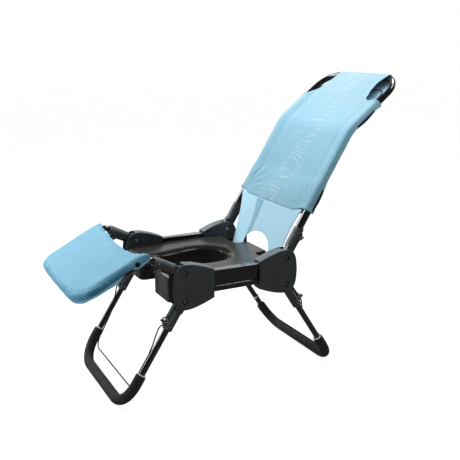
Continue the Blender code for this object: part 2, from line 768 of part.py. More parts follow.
def seat_boundary():
    """Left half of the seat's edge, from the rear middle round to the opening's rear.

    Each entry is (x, y, roll width, roll drop, skirt depth) about the seat's middle.
    """
    flank = INNER_FACE - GAP
    between = HALF_TRACK - RAIL_WIDE / 2 - GAP
    step = HUB_SPACE - 2 * GAP
    edge = []

    def add(points, roll=EDGE_ROLL, drop=EDGE_ROLL, depth=SEAT_SKIRT):
        edge.extend((x, y, roll, drop, depth) for x, y in points)

    add([(0.0, SEAT_REAR), (TONGUE_HALF * 0.5, SEAT_REAR)])
    add(arc((TONGUE_HALF - REAR_CORNER, SEAT_REAR - REAR_CORNER), REAR_CORNER, 90, 0, 3))
    add(arc((TONGUE_HALF + CUT_CORNER, SEAT_CUT + CUT_CORNER), CUT_CORNER, 180, 270, 3))
    add(arc((flank - REAR_CORNER, SEAT_CUT - REAR_CORNER), REAR_CORNER, 90, 0, 3))
    add([(flank, step + 0.002), (between, step - 0.005), (between, 0.0),
         (between, 0.005 - step), (flank, -step - 0.002), (flank, APRON_FROM)])
    add([(flank, (APRON_FROM + APRON_FULL) / 2)], depth=EAR_SKIRT * 0.7)
    add([(flank, APRON_FULL)], depth=EAR_SKIRT)
    front = EAR_CORNER - SEAT_FRONT
    ear = arc((flank - EAR_CORNER, front), EAR_CORNER, 0, -90, 4)
    add(ear + [((flank + CHANNEL_HALF) / 2, -SEAT_FRONT)], EAR_ROLL * 0.6, EAR_ROLL * 0.6,
        EAR_SKIRT)
    ear = arc((CHANNEL_HALF + EAR_CORNER, front), EAR_CORNER, 270, 180, 4)
    add(ear, EAR_ROLL, EAR_ROLL * 0.8, EAR_SKIRT)
    for k in range(1, 10):
        y = front + (HOLE_WIDEST_Y - front) * k / 9
        roll = EAR_ROLL + (RIM_ROLL - EAR_ROLL) * ease(y, front, RIM_FULL)
        drop = EAR_ROLL * 0.8 + (RIM_DROP - EAR_ROLL * 0.8) * ease(y, front, RIM_FULL)
        depth = EAR_SKIRT + (HOLE_SKIRT - EAR_SKIRT) * ease(y, *NECK)
        add([(hole_half_width(y), y)], roll, drop, depth)
    for k in range(1, 7):
        turn = math.pi / 2 * k / 6
        add([(HOLE_HALF * math.cos(turn), HOLE_WIDEST_Y
              + (HOLE_REAR - HOLE_WIDEST_Y) * math.sin(turn))], RIM_ROLL, RIM_DROP, HOLE_SKIRT)
    return edge


def make_seat(shop):
    """Moulded seat: a flat top that rolls over into skirts along its whole edge."""
    edge = seat_boundary()
    normals = []
    for i in range(len(edge)):
        before = Vector(edge[max(i - 1, 0)][:2])
        after = Vector(edge[min(i + 1, len(edge) - 1)][:2])
        along = (after - before).normalized()
        normals.append(Vector((-along.y, along.x)))
    normals[0] = Vector((0, 1))
    normals[-1] = Vector((0, -1))
    rows = []
    for step in range(4):
        turn = math.radians(90) * step / 3
        row = []
        for (x, y, roll, drop, depth), normal in zip(edge, normals):
            place = Vector((x, y)) - normal * roll * (1 - math.sin(turn))
            row.append((place.x, place.y, -drop * (1 - math.cos(turn))))
        rows.append(row)
    rows.append([(x, y, -depth) for x, y, roll, drop, depth in edge])
    shape = surface(rows)
    shape.verts.ensure_lookup_table()
    shape.faces.new(shape.verts[:len(edge)])
    shape.normal_update()
    bmesh.ops.recalc_face_normals(shape, faces=shape.faces)
    if max(shape.faces, key=lambda face: len(face.verts)).normal.z < 0:
        bmesh.ops.reverse_faces(shape, faces=shape.faces)
    mesh = bpy.data.meshes.new("seat")
    shape.to_mesh(mesh)
    shape.free()
    seat = shop.piece("seat_plate", mesh, "seat_plastic", None, (0, SEAT_MID_Y, SEAT_TOP))
    halves = seat.modifiers.new("halves", "MIRROR")
    halves.use_clip = True
    halves.merge_threshold = 0.0001
    wall = seat.modifiers.new("wall", "SOLIDIFY")
    wall.thickness = SEAT_WALL
    wall.offset = -1


# Back and calf rest


def back_path(start):
    """Upper back tube: a U over the top bar, both ends at start."""
    corner = arc((HALF_TRACK - BACK_CORNER, BACK_TOP - BACK_CORNER), BACK_CORNER, 0, 90, 6)
    half = [(HALF_TRACK, 0.0, start)]
    half += bend_points(HALF_TRACK, BACK_LOWER, BACK_LEAN, BACK_BEND, 4)
    half += [leaned((x, 0.0, along), BACK_LOWER, BACK_LEAN) for x, along in corner]
    return both_sides(half)


def make_back_tubes(shop, arm):
    sides = 14
    bore = clear_of(TUBE_R + GAP, sides)
    plug = BACK_JOINT - BACK_PLUG - GAP
    profile = [(0.0, SOCKET_BITE + GAP), (LOWER_TUBE_R, SOCKET_BITE + GAP),
               (LOWER_TUBE_R, BACK_JOINT), (bore, BACK_JOINT), (bore, plug), (0.0, plug)]
    lower = shop.piece("back_lower_tube", solid(turned(profile, sides)), "black_tube",
                       arm.axis, (HALF_TRACK, 0, 0))
    shop.pair(lower, "black_tube")
    upper = tube(arm.points(back_path(BACK_JOINT - BACK_PLUG)), TUBE_R, 3)
    shop.piece("back_upper_tube", upper, "black_tube", arm.axis)


def sleeve_section(tube_r, waist):
    """Right half of the sleeve's flat section, as (x, out): round side, drawn-in middle."""
    half = clear_of(tube_r + CLOTH_CLEAR, 12) + CLOTH
    side = arc((HALF_TRACK, 0), half, 90, -90, 6)
    inboard = [(HALF_TRACK * t, half - waist * (1 - t * t)) for t in (0.0, 0.5)]
    return inboard + side + [(x, -out) for x, out in reversed(inboard)]


def sleeve_place(along):
    """Out, along and turn of the back's middle line at a distance from the pivot."""
    angle = math.radians(BACK_LEAN)
    back = BACK_BEND * math.tan(angle / 2)
    if along <= BACK_LOWER - back:
        return 0.0, along, 0.0
    far = along - BACK_LOWER
    if far >= back:
        return far * math.sin(angle), BACK_LOWER + far * math.cos(angle), angle
    turn = angle * (far + back) / (2 * back)
    return BACK_BEND * (1 - math.cos(turn)), BACK_LOWER - back + BACK_BEND * math.sin(turn), turn


def thickened(shape, thickness):
    """Give an open surface a wall on its inner side, and return it as a closed mesh."""
    mesh = bpy.data.meshes.new("surface")
    shape.to_mesh(mesh)
    shape.free()

    def add_wall(holder):
        wall = holder.modifiers.new("wall", "SOLIDIFY")
        wall.thickness = thickness
        wall.offset = -1

    return solid(baked("surface", mesh, add_wall))


def sleeve_surface():
    """The sleeve over both back tubes, open at its two hems."""
    cuff = BACK_LOWER + COVER_CUFF
    back = BACK_BEND * math.tan(math.radians(BACK_LEAN) / 2)
    stations = [(COVER_HEM, LOWER_TUBE_R, 0.0), (COVER_HEM + 0.050, LOWER_TUBE_R, COVER_WAIST),
                (BACK_JOINT + 0.010, LOWER_TUBE_R, COVER_WAIST),
                (BACK_JOINT + 0.045, TUBE_R, COVER_WAIST)]
    stations += [(BACK_LOWER + back * k / 2, TUBE_R, COVER_WAIST) for k in range(-2, 3)]
    stations += [(cuff - 0.050, TUBE_R, COVER_WAIST * 0.3), (cuff, TUBE_R, 0.0)]
    rows = []
    for distance, tube_r, waist in stations:
        out, along, turn = sleeve_place(distance)
        row = []
        section = sleeve_section(tube_r, waist)
        section += [(-x, v) for x, v in reversed(section[1:-1])]
        for x, v in section + section[:1]:
            row.append((x, out + v * math.cos(turn), along - v * math.sin(turn)))
        rows.append(row)
    shape = surface(rows)
    bmesh.ops.remove_doubles(shape, verts=shape.verts, dist=0.00001)
    return shape


def flap_surface():
    """The flap over the top bar, drawn in between two hand holes and open at both sides."""
    radius = clear_of(TUBE_R + CLOTH_CLEAR, 12) + CLOTH - 0.0001
    start = BACK_LOWER + COVER_CUFF - 0.012
    climb = BACK_TOP - start
    side = [(radius, start + climb * share) for share in (0.0, 0.2, 0.4, 0.7)]
    profile = side + arc((0, BACK_TOP), radius, 0, 180, 8)
    profile += [(-out, along) for out, along in reversed(side)]
    rows = []
    for side in (-1, 1):
        row = []
        for out, along in profile:
            left = max(0.0, 1 - (along - start) / climb)
            half = FLAP_HALF + FLAP_FLARE * left ** 2
            row.append(leaned((side * half, out, along), BACK_LOWER, BACK_LEAN))
        rows.append(row)
    return surface(rows)


def outward(shape, inside):
    """Make the faces of an open surface point away from a point inside it."""
    shape.normal_update()
    bmesh.ops.recalc_face_normals(shape, faces=shape.faces)
    face = max(shape.faces, key=lambda one: one.calc_area())
    if face.normal.dot(face.calc_center_median() - Vector(inside)) < 0:
        bmesh.ops.reverse_faces(shape, faces=shape.faces)
    return shape


def panel_line():
    """The lower panel, from the front of the cross tube to the sleeve, as (y, z) pairs."""
    angle = math.radians(BACK_RISE)
    along = Vector((math.cos(angle), math.sin(angle)))
    front = Vector((-math.sin(angle), math.cos(angle)))
    skin = clear_of(LOWER_TUBE_R + CLOTH_CLEAR, 12) + CLOTH / 2
    end = Vector((REAR_Y, UPPER_Z)) + along * (COVER_HEM + PANEL_LAP) + front * skin
    middle = Vector(cross_tube_middle())
    reach = clear_of(CROSS_TUBE_R + GAP, 12) + CLOTH / 2
    way = end - middle
    slope = math.atan2(way.y, way.x) - math.asin(reach / way.length)
    return middle + Vector((-math.sin(slope), math.cos(slope))) * reach, end


def panel_split():
    """Distance along the panel where its foot ends and the moving part starts."""
    start, end = panel_line()
    along = (end - start).normalized()
    offset = start - Vector((REAR_Y, UPPER_Z))
    b = offset.dot(along)
    return -b + math.sqrt(b * b - offset.length_squared + FOOT_RADIUS ** 2)


def panel_half_width(distance):
    start, end = panel_line()
    share = distance / (end - start).length
    return PANEL_HALF_LOW + (PANEL_HALF_HIGH - PANEL_HALF_LOW) * share ** 1.6


def panel_edges(low, high):
    """Outline of the panel between two distances along it, with its hollow sides."""
    left = []
    for k in range(5):
        along = low + (high - low) * k / 4
        left.append((-panel_half_width(along), along))
    return left + [(-x, along) for x, along in reversed(left)]


def stand_panel(shape):
    """Stand a shape, drawn as (across, along the panel), on the front of the cross tube."""
    start, end = panel_line()
    slope = math.atan2(end.y - start.y, end.x - start.x)
    shape.transform(Matrix.Rotation(slope, 4, "X"))
    shape.transform(Matrix.Translation((0, start.x, start.y)))
    return shape


def make_cover(shop, arm):
    """Mesh cover: a sleeve over both tubes, a flap over the top bar, a lower panel."""
    middle = (0, 0, COVER_HEM + 0.02)
    body = thickened(outward(sleeve_surface(), middle), CLOTH)
    cover = shop.piece("back_cover", body, "mesh_fabric", arm.axis)
    top = leaned((0, 0, BACK_TOP - 0.01), BACK_LOWER, BACK_LEAN)
    shop.join(cover, thickened(outward(flap_surface(), top), CLOTH - 0.0002), "UNION")
    start, end = panel_line()
    outline = panel_edges(panel_split() + GAP, (end - start).length)
    panel = stand_panel(extruded([outline], -CLOTH / 2, CLOTH / 2))
    panel.transform(Matrix.Translation((0, -REAR_Y, -UPPER_Z)))
    shop.join(cover, arm.level(panel), "UNION")


def make_cover_foot(shop):
    """Foot of the lower panel: two feet joined over an arch, sewn round the cross tube."""
    start, end = panel_line()
    slope = math.atan2(end.y - start.y, end.x - start.x)
    springing = (SEAT_TOP - start.y) / math.sin(slope)
    arch = [(ARCH_HALF, 0.0)]
    arch += [(ARCH_HALF * a, springing + ARCH_HIGH * b / math.sin(slope))
             for a, b in arc((0, 0), 1.0, 0, 180, 10)]
    arch.append((-ARCH_HALF, 0.0))
    body = stand_panel(extruded([panel_edges(0.0, panel_split()) + arch], -CLOTH / 2, CLOTH / 2))
    foot = shop.piece("back_cover_foot", solid(body), "mesh_fabric")
    tube_y, tube_z = cross_tube_middle()
    bore = clear_of(CROSS_TUBE_R + GAP, 12)
    loops = []
    for side in (-1, 1):
        xs = sorted((side * ARCH_HALF, side * PANEL_HALF_LOW))
        loops.append(rod(bore + CLOTH - 0.0001, *xs, 12, tube_y, tube_z))
    shop.join(foot, merged(loops), "UNION")
    hollow = rod(bore, -HALF_TRACK, HALF_TRACK, 12, tube_y, tube_z)
    shop.join(foot, solid(hollow), "DIFFERENCE")


def calf_path(start):
    """Calf tube: down through the knee, then a U round the pad's outer edge."""
    end = CALF_KNEE + CALF_LONG - PAD_HALF_THICK
    corner = arc((HALF_TRACK - CALF_CORNER, end - CALF_CORNER), CALF_CORNER, 0, 90, 6)
    half = [(HALF_TRACK, 0.0, start)]
    half += bend_points(HALF_TRACK, CALF_KNEE, CALF_LEAN, CALF_BEND, 4)
    half += [leaned((x, 0.0, along), CALF_KNEE, CALF_LEAN) for x, along in corner]
    return both_sides(half)


def calf_bail():
    """Wire from a calf trigger through the pad's open knee edge, inside the tube."""
    far = CALF_KNEE + CALF_LONG - PAD_HALF_THICK - PAD_WIRE_CLEAR
    inside = [(0.008, 0.018, 0.010), (0.017, 0.010, 0.022), (WIRE_INSET, 0.003, 0.038),
              (WIRE_INSET, 0.0, 0.064)]
    half = [(HALF_TRACK, TRIGGER_MID, TRIGGER_END + GAP),
            (HALF_TRACK, TRIGGER_MID, SOCKET_END - 0.001)]
    half += [leaned((HALF_TRACK - inset, out, CALF_KNEE + along), CALF_KNEE, CALF_LEAN)
             for inset, out, along in inside]
    half += [leaned(point, CALF_KNEE, CALF_LEAN) for point in bail_corner(far)]
    return half


def pad_row(x):
    """Half-thickness profile of the pad at x: (out, along) from its top to its underside."""
    inward = HALF_TRACK + PAD_OVERHANG - x
    scoop = PAD_SCOOP * math.cos(math.pi / 2 * min(1.0, x / (HALF_TRACK - 0.015))) ** 1.3
    reach = max(0.0, PAD_CORNER - inward)
    end = CALF_KNEE + CALF_LONG - PAD_CORNER + math.sqrt(PAD_CORNER ** 2 - reach ** 2)
    near = CALF_KNEE + scoop
    share = min(1.0, inward / PAD_HALF_THICK)
    thick = PAD_HALF_THICK * math.sqrt(1 - (1 - share) ** 2)
    span = end - near
    top = [(-thick, near), (-thick, near + span * 0.4), (-thick, end - 0.018),
           (-thick * 0.8, end - 0.002)]
    low = [(-out, along) for out, along in reversed(top)]
    low[-1] = (thick, near + PAD_UNDERCUT)
    return top + [(0.0, end)] + low


def make_calf_pad(shop, arm):
    """Padded cover of the calf tube: a bag from a coarse cage, open at the knee."""
    half_width = HALF_TRACK + PAD_OVERHANG
    rows = []
    for share in (0.0, 0.30, 0.58, 0.80, 0.93, 0.982, 1.0):
        x = share * half_width
        row = [leaned((x, out, along), CALF_KNEE, CALF_LEAN) for out, along in pad_row(x)]
        rows.append(row)
    shape = surface(rows)
    bmesh.ops.remove_doubles(shape, verts=shape.verts, dist=0.00001)
    outward(shape, leaned((0, 0, CALF_KNEE + CALF_LONG / 2), CALF_KNEE, CALF_LEAN))
    shape.transform(Matrix.Scale(arm.side, 4, (0, 1, 0)))
    if arm.side < 0:
        bmesh.ops.reverse_faces(shape, faces=shape.faces)
    mesh = bpy.data.meshes.new("pad")
    shape.to_mesh(mesh)
    shape.free()
    pad = shop.piece("calf_pad", mesh, "pad_fabric", arm.axis)
    halves = pad.modifiers.new("halves", "MIRROR")
    halves.use_clip = True
    halves.merge_threshold = 0.0001
    soft = pad.modifiers.new("soft", "SUBSURF")
    soft.levels = 1
    soft.render_levels = 1
    wall = pad.modifiers.new("wall", "SOLIDIFY")
    wall.thickness = PAD_WALL
    wall.offset = -1


def main():
    clear_scene()
    shop = Workshop()
    front = (rim_edge(90 - CALF_RISE - CALF_LIFT), rim_edge(LEG_SPLAY - FRONT_LEG_FOLD))
    rear = (rim_edge(90 - BACK_RISE - BACK_FORWARD), rim_edge(LEG_SPLAY - REAR_LEG_TUCK))
    make_hub(shop, "front", FRONT_Y, -1, front, "calf", "front_leg")
    make_hub(shop, "rear", REAR_Y, 1, rear, "back", "rear_leg")
    make_rail(shop)
    make_seat(shop)
    make_cross_tube(shop)

    make_leg(shop, Arm(shop, "front_leg", FRONT_Y, LOWER_Z, 270 - LEG_SPLAY, 1), 0.0)
    make_leg(shop, Arm(shop, "rear_leg", REAR_Y, LOWER_Z, 270 + LEG_SPLAY, -1), REAR_SLEEVE_SLIP)

    back = Arm(shop, "back", REAR_Y, UPPER_Z, BACK_RISE, 1)
    make_socket(shop, back, LOWER_TUBE_R)
    make_back_tubes(shop, back)
    make_cover(shop, back)
    make_cover_foot(shop)
    make_trigger(shop, back)
    corner = [leaned(point, BACK_LOWER, BACK_LEAN) for point in bail_corner(BACK_TOP - BAIL_FROM_BAR)]
    bend = bend_points(HALF_TRACK - WIRE_INSET, BACK_LOWER, BACK_LEAN, BACK_BEND, 4)
    make_bail(shop, back, bail_lead(0.060) + bend + corner)

    calf = Arm(shop, "calf", FRONT_Y, UPPER_Z, 180 - CALF_RISE, -1)
    make_socket(shop, calf, TUBE_R)
    shop.piece("calf_tube", tube(calf.points(calf_path(SOCKET_BITE + GAP)), TUBE_R, 3),
               "black_tube", calf.axis)
    make_calf_pad(shop, calf)
    make_trigger(shop, calf)
    make_bail(shop, calf, calf_bail())


main()
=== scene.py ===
"""Dresses the bath chair: real finishes on its frame, and its cloth, foam and trim.

Metres.  +X is the sitter's left, +Y points behind the chair, +Z is up, and the
floor is Z = 0.
"""

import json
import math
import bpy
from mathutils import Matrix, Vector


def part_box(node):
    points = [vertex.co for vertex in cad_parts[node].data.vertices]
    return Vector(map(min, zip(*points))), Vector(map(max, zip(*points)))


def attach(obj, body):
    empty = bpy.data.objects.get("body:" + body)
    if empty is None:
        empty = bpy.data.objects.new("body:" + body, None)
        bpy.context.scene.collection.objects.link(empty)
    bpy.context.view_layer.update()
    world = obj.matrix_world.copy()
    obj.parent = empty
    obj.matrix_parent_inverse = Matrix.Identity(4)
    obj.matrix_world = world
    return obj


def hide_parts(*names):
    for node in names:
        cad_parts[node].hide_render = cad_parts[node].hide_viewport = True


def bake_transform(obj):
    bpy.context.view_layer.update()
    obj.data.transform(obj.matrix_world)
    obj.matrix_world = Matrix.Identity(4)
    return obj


bl_info = {
    "name": "Bath Chair",
    "version": (1, 0, 0),
    "blender": (4, 5, 0),
    "location": "View3D > Sidebar > Bath Chair",
    "description": "Finishes, cloth, foam and trim of a folding bath chair",
    "category": "Object",
}

import bmesh
import bpy
from mathutils import Vector, noise

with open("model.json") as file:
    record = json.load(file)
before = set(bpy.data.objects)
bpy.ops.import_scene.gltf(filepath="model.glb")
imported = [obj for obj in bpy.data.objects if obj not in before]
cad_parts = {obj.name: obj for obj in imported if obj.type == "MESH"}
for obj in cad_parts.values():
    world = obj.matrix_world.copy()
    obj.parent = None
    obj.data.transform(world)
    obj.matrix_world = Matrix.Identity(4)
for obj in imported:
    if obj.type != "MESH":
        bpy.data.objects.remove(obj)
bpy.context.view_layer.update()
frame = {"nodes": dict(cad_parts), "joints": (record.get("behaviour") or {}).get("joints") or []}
JOINTS = {joint["name"]: joint for joint in frame["joints"]}

# Sizes that the frame was drawn to, in metres and degrees
HALF_TRACK = 0.200        # middle of the chair to the middle of a tube
TUBE_R = 0.0096
LOWER_TUBE_R = 0.0125
GAP = 0.0003
WIRE_R = 0.0021
WIRE_INSET = 0.0205       # wire, inboard of the tube's middle
WIRE_FROM_BAR = {"front_leg": 0.058, "rear_leg": 0.047, "back": 0.058}
WIRE_CORNER = 0.030
TIGHT_WIRE_CORNER = 0.018
SOCKET_R = 0.0150
SOCKET_END = 0.099
SOCKET_BITE = 0.050
TRIGGER_MID = 0.0175      # middle of a trigger, out from the tube's middle
TRIGGER_END = 0.090
EYELET_AT = (0.0205, 0.0745)       # out from the tube's middle, and along it
RIVET_AT = 0.0860         # along the tube's middle
BOLT_SEAT = 0.0167        # middle of a hub to the seat of a bolt's head
BORE_R = 0.0035           # a bolt's socket is narrower than this
LEG_REACH = 0.3565
LEG_BEND = 0.075
SLEEVE_R = 0.0160
SLEEVE_FROM = 0.250
REAR_SLEEVE_SLIP = 0.026
BACK_LOWER = 0.442        # upper pivot to the bend
BACK_TOP = 0.687          # upper pivot to the top bar
BACK_LEAN = 20.0
BACK_BEND = 0.110
BACK_CORNER = 0.073
BACK_JOINT = 0.235
CALF_KNEE = 0.118         # upper pivot to the knee
CALF_LEAN = 54.4
CALF_BEND = 0.028
CALF_CORNER = 0.070
# Bends of the back and calf frames: place along the tube, lean, radius
BACK_RUN = (BACK_LOWER, BACK_LEAN, BACK_BEND)
CALF_RUN = (CALF_KNEE, CALF_LEAN, CALF_BEND)


def linear(code):
    """A colour in sRGB hex as the linear values that a shader takes."""
    shares = [int(code[i:i + 2], 16) / 255 for i in (1, 3, 5)]
    return tuple(s / 12.92 if s <= 0.04045 else ((s + 0.055) / 1.055) ** 2.4 for s in shares)


# What a user would change


def colour_prop(name, description, code):
    return bpy.props.FloatVectorProperty(name=name, description=description, subtype="COLOR", size=3,
                                         min=0.0, max=1.0, default=linear(code))


def number_prop(name, description, default, **kind):
    return bpy.props.FloatProperty(name=name, description=description, default=default, **kind)


def length_prop(name, description, default):
    return number_prop(name, description, default, unit="LENGTH")


def power_prop(name, description, default):
    return number_prop(name, description, default, subtype="POWER", unit="POWER")


class ChairColours(bpy.types.PropertyGroup):
    """Colours of the chair's finishes."""

    cloth: colour_prop("Mesh cloth", "Back cover's mesh", "#8AC2DA")
    # Painted light: the single layer is paler than the cloth, as if the white behind shone through it
    panel: colour_prop("Single mesh", "Lower panel, one layer thick", "#AEDAEF")
    pad: colour_prop("Pad cloth", "Cover of the calf pad", "#7AAFC8")
    hub: colour_prop("Hub plastic", "Hubs and sockets", "#33383A")
    seat: colour_prop("Seat plastic", "Moulded seat", "#31312D")
    tube: colour_prop("Tube black", "Tubes and rails", "#080808")
    foam: colour_prop("Foam", "Foam sleeves of the feet", "#242321")
    ring: colour_prop("Rings", "Rings above the foam sleeves", "#EDEBE4")
    rivet: colour_prop("Rivets", "Rivets of the sockets and eyelets of the triggers", "#D6CFC2")
    screw: colour_prop("Screws", "Pivot bolts", "#CBBFA8")


class ClothSizes(bpy.types.PropertyGroup):
    """Sizes of the back cover."""

    hem_low: length_prop("Lower hem", "Upper pivot to the sleeve's lower hem, at the tubes", 0.158)
    dip: length_prop("Hem dip", "How much lower the lower hem lies between the tubes", 0.013)
    cuff: length_prop("Cuff", "Bend of the back to the sleeve's upper hem", 0.129)
    sag: length_prop("Sag", "Hollow of the front layer between the tubes", 0.016)
    thread: length_prop("Mesh pitch", "Distance between the holes of the mesh", 0.0016)
    cloth: length_prop("Thickness", "Thickness of the mesh", 0.0009)


class PadSizes(bpy.types.PropertyGroup):
    """Sizes of the calf pad."""

    length: length_prop("Length", "Knee to the outer edge", 0.2300)
    overhang: length_prop("Overhang", "Side of the pad, outboard of the tube's middle", 0.0165)
    top: length_prop("Above the tube", "Middle of the calf tube to the pad's upper face", 0.0190)
    under: length_prop("Under the tube", "Middle of the calf tube to the pad's lower face", 0.0110)
    corner: length_prop("Corner", "Radius of the outer corners", 0.074)
    pressure: number_prop("Stuffing", "Pressure of the stuffing in the simulation", 3.5)
    swell: length_prop("Swell", "Furthest that the stuffing moves the cloth", 0.005)


class StageSettings(bpy.types.PropertyGroup):
    """Camera and lamps."""

    camera: bpy.props.FloatVectorProperty(
        name="Camera", description="Place of the camera", subtype="TRANSLATION", size=3,
        unit="LENGTH", default=(1.9934, -1.0052, 1.0394))
    azimuth: number_prop("Azimuth", "Direction of the camera round the chair", math.radians(62.69),
                         subtype="ANGLE")
    elevation: number_prop("Elevation", "Height of the camera above level", math.radians(14.79),
                           subtype="ANGLE")
    lens: number_prop("Lens", "Focal length in millimetres on a 36 mm sensor", 55.68)
    key: power_prop("Key lamp", "Power of the main lamp", 50.0)
    line: power_prop("Line lamp", "Power of the lamp that draws a line down each tube", 26.0)
    edge: power_prop("Edge lamp", "Power of the lamp that draws the rails' long edges", 20.0)
    top: power_prop("Top lamp", "Power of the lamp over the chair", 12.0)
    ambient: number_prop("Ambient", "Strength of the light from all sides", 0.36)
    floor_seen: number_prop("Floor, seen", "Glow of the floor to the camera", 0.90)
    floor_mirrored: number_prop("Floor, mirrored", "Glow of the floor in reflections", 0.06)


# Ways of making a material


def add_node(tree, kind, inputs=None, **settings):
    """Add a shader node, set it up, feed it values or other nodes' outputs, and give its outputs."""
    node = tree.nodes.new("ShaderNode" + kind)
    for name, value in settings.items():
        setattr(node, name, value)
    for name, value in (inputs or {}).items():
        if isinstance(value, bpy.types.NodeSocket):
            tree.links.new(value, node.inputs[name])
        else:
            node.inputs[name].default_value = value
    return node.outputs


def new_material(name, colour, roughness, **settings):
    """A material whose shader has the plain values; patterns are added to it after."""
    material = bpy.data.materials.new(name)
    material.use_nodes = True
    material.diffuse_color = (*colour, 1.0)
    tree = material.node_tree
    shader = tree.nodes["Principled BSDF"]
    shader.inputs["Base Color"].default_value = (*colour, 1.0)
    shader.inputs["Roughness"].default_value = roughness
    for socket, value in settings.items():
        shader.inputs[socket.replace("_", " ")].default_value = value
    return material, tree, shader


def feed(shader, **sources):
    """Drive the shader's sockets by other nodes' outputs."""
    for socket, source in sources.items():
        shader.id_data.links.new(source, shader.inputs[socket.replace("_", " ")])


def object_places(tree, stretch=(1.0, 1.0, 1.0)):
    """Places in the piece's own space, in metres, stretched along its axes."""
    places = add_node(tree, "TexCoord")["Object"]
    return add_node(tree, "Mapping", {"Vector": places, "Scale": stretch})["Vector"]


def grain(tree, places, size, detail=3.0):
    """Noise whose lumps are size metres across."""
    return add_node(tree, "TexNoise", {"Vector": places, "Scale": 1.0 / size, "Detail": detail})["Fac"]


FULL = (0.0, 1.0)


def spread(tree, value, low, high, source=(0.35, 0.65), **settings):
    """Carry a value from its source range to low...high; noise keeps to 0.35...0.65."""
    return add_node(tree, "MapRange", {
        "Value": value, "From Min": source[0], "From Max": source[1], "To Min": low,
        "To Max": high}, **settings)["Result"]


def tinted(tree, colour, fac, dark, pale):
    """The colour times dark where fac is 0, and times pale where it is 1."""
    return add_node(tree, "VectorMath", {
        0: tuple(colour), "Scale": spread(tree, fac, dark, pale, FULL, clamp=False)},
        operation="SCALE")["Vector"]


def relief(tree, height, depth, strength=1.0):
    """The surface raised by height times depth metres."""
    return add_node(tree, "Bump", {"Height": height, "Distance": depth, "Strength": strength})["Normal"]


def finish(name, colour, roughness, lumps, tone=None, gloss=None, raised=None,
           stretch=(1.0, 1.0, 1.0), **settings):
    """A material that follows one noise, whose size and detail are lumps.

    tone is how dark and how pale the colour goes, and gloss is the range of the roughness.
    raised is the relief's depth and strength, and the size and detail of a noise of its own
    where it has one.
    """
    material, tree, shader = new_material(name, colour, roughness, **settings)
    height = grain(tree, object_places(tree, stretch), *lumps)
    if tone:
        feed(shader, Base_Color=tinted(tree, colour, height, *tone))
    if gloss:
        feed(shader, Roughness=spread(tree, height, *gloss))
    if raised:
        depth, strength, *own = raised
        if own:
            height = grain(tree, object_places(tree), *own)
        feed(shader, Normal=relief(tree, height, depth, strength))
    return material


def moulded_nylon(colour):
    """Glass-filled nylon: a fine even grain that breaks highlights, with painted light that makes its
    tops paler.
    """
    material, tree, shader = new_material("Moulded glass-filled nylon", colour, 0.46, IOR=1.50)
    places = object_places(tree)
    cloudy = grain(tree, places, 0.045)
    # Painted light: the colour grows up to four times as light where the face points up, as if lit from
    # above, times a random cloudy tone
    facing = add_node(tree, "NewGeometry")["Normal"]
    upward = add_node(tree, "SeparateXYZ", {"Vector": facing})["Z"]
    cloudy_and_top_lit = add_node(tree, "Math", {
        0: spread(tree, cloudy, 0.88, 1.14), 1: spread(tree, upward, 1.0, 4.0, (0.05, 0.65))},
        operation="MULTIPLY")["Value"]
    feed(shader, Base_Color=tinted(tree, colour, cloudy_and_top_lit, 0.0, 1.0),
         Roughness=spread(tree, cloudy, 0.42, 0.54),
         Normal=relief(tree, grain(tree, places, 0.0007), 0.00005, 0.55))
    return material


def moulded_polypropylene(colour):
    """Polypropylene: a satin top, and a polished rim that rolls down, painted darker as painted shade."""
    material, tree, shader = new_material("Moulded polypropylene", colour, 0.26, IOR=1.49)
    spot = add_node(tree, "NewGeometry")["Position"]
    parts = add_node(tree, "SeparateXYZ", {"Vector": spot})
    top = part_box("seat_plate")[1].z
    flat = spread(tree, parts["Z"], 1.0, 0.0, (top - 0.0001, top - 0.0022),
                  interpolation_type="SMOOTHSTEP")
    aside = add_node(tree, "Math", {0: parts["X"]}, operation="ABSOLUTE")["Value"]
    outside = spread(tree, aside, 0.0, 1.0, (0.096, 0.112))
    satin_unshaded = add_node(tree, "Math", {0: flat, 1: outside}, operation="MAXIMUM")["Value"]
    # Painted shade: the rolled rim and the wall of the opening take the colour times 0.42, the satin top
    # and the aprons times 1.05; the rim is also glossier and mirrors less
    feed(shader, Base_Color=tinted(tree, colour, satin_unshaded, 0.42, 1.05),
         Roughness=spread(tree, satin_unshaded, 0.14, 0.28, FULL),
         Specular_IOR_Level=spread(tree, satin_unshaded, 0.16, 0.50, FULL),
         Normal=relief(tree, grain(tree, object_places(tree), 0.0011), 0.00004, 0.4))
    return material


def cellular_foam(colour):
    """Closed-cell rubber foam: matte, pitted where its skin has worn, a little dusty."""
    material, tree, shader = new_material("Closed-cell rubber foam", colour, 0.86, IOR=1.45)
    places = object_places(tree)
    cells = add_node(tree, "TexVoronoi", {"Vector": places, "Scale": 1 / 0.0016})["Distance"]
    dust = grain(tree, places, 0.020, 4.0)
    feed(shader, Base_Color=tinted(tree, colour, dust, 0.70, 1.45),
         Roughness=spread(tree, dust, 0.80, 0.95), Normal=relief(tree, cells, 0.00025, 0.6))
    return material


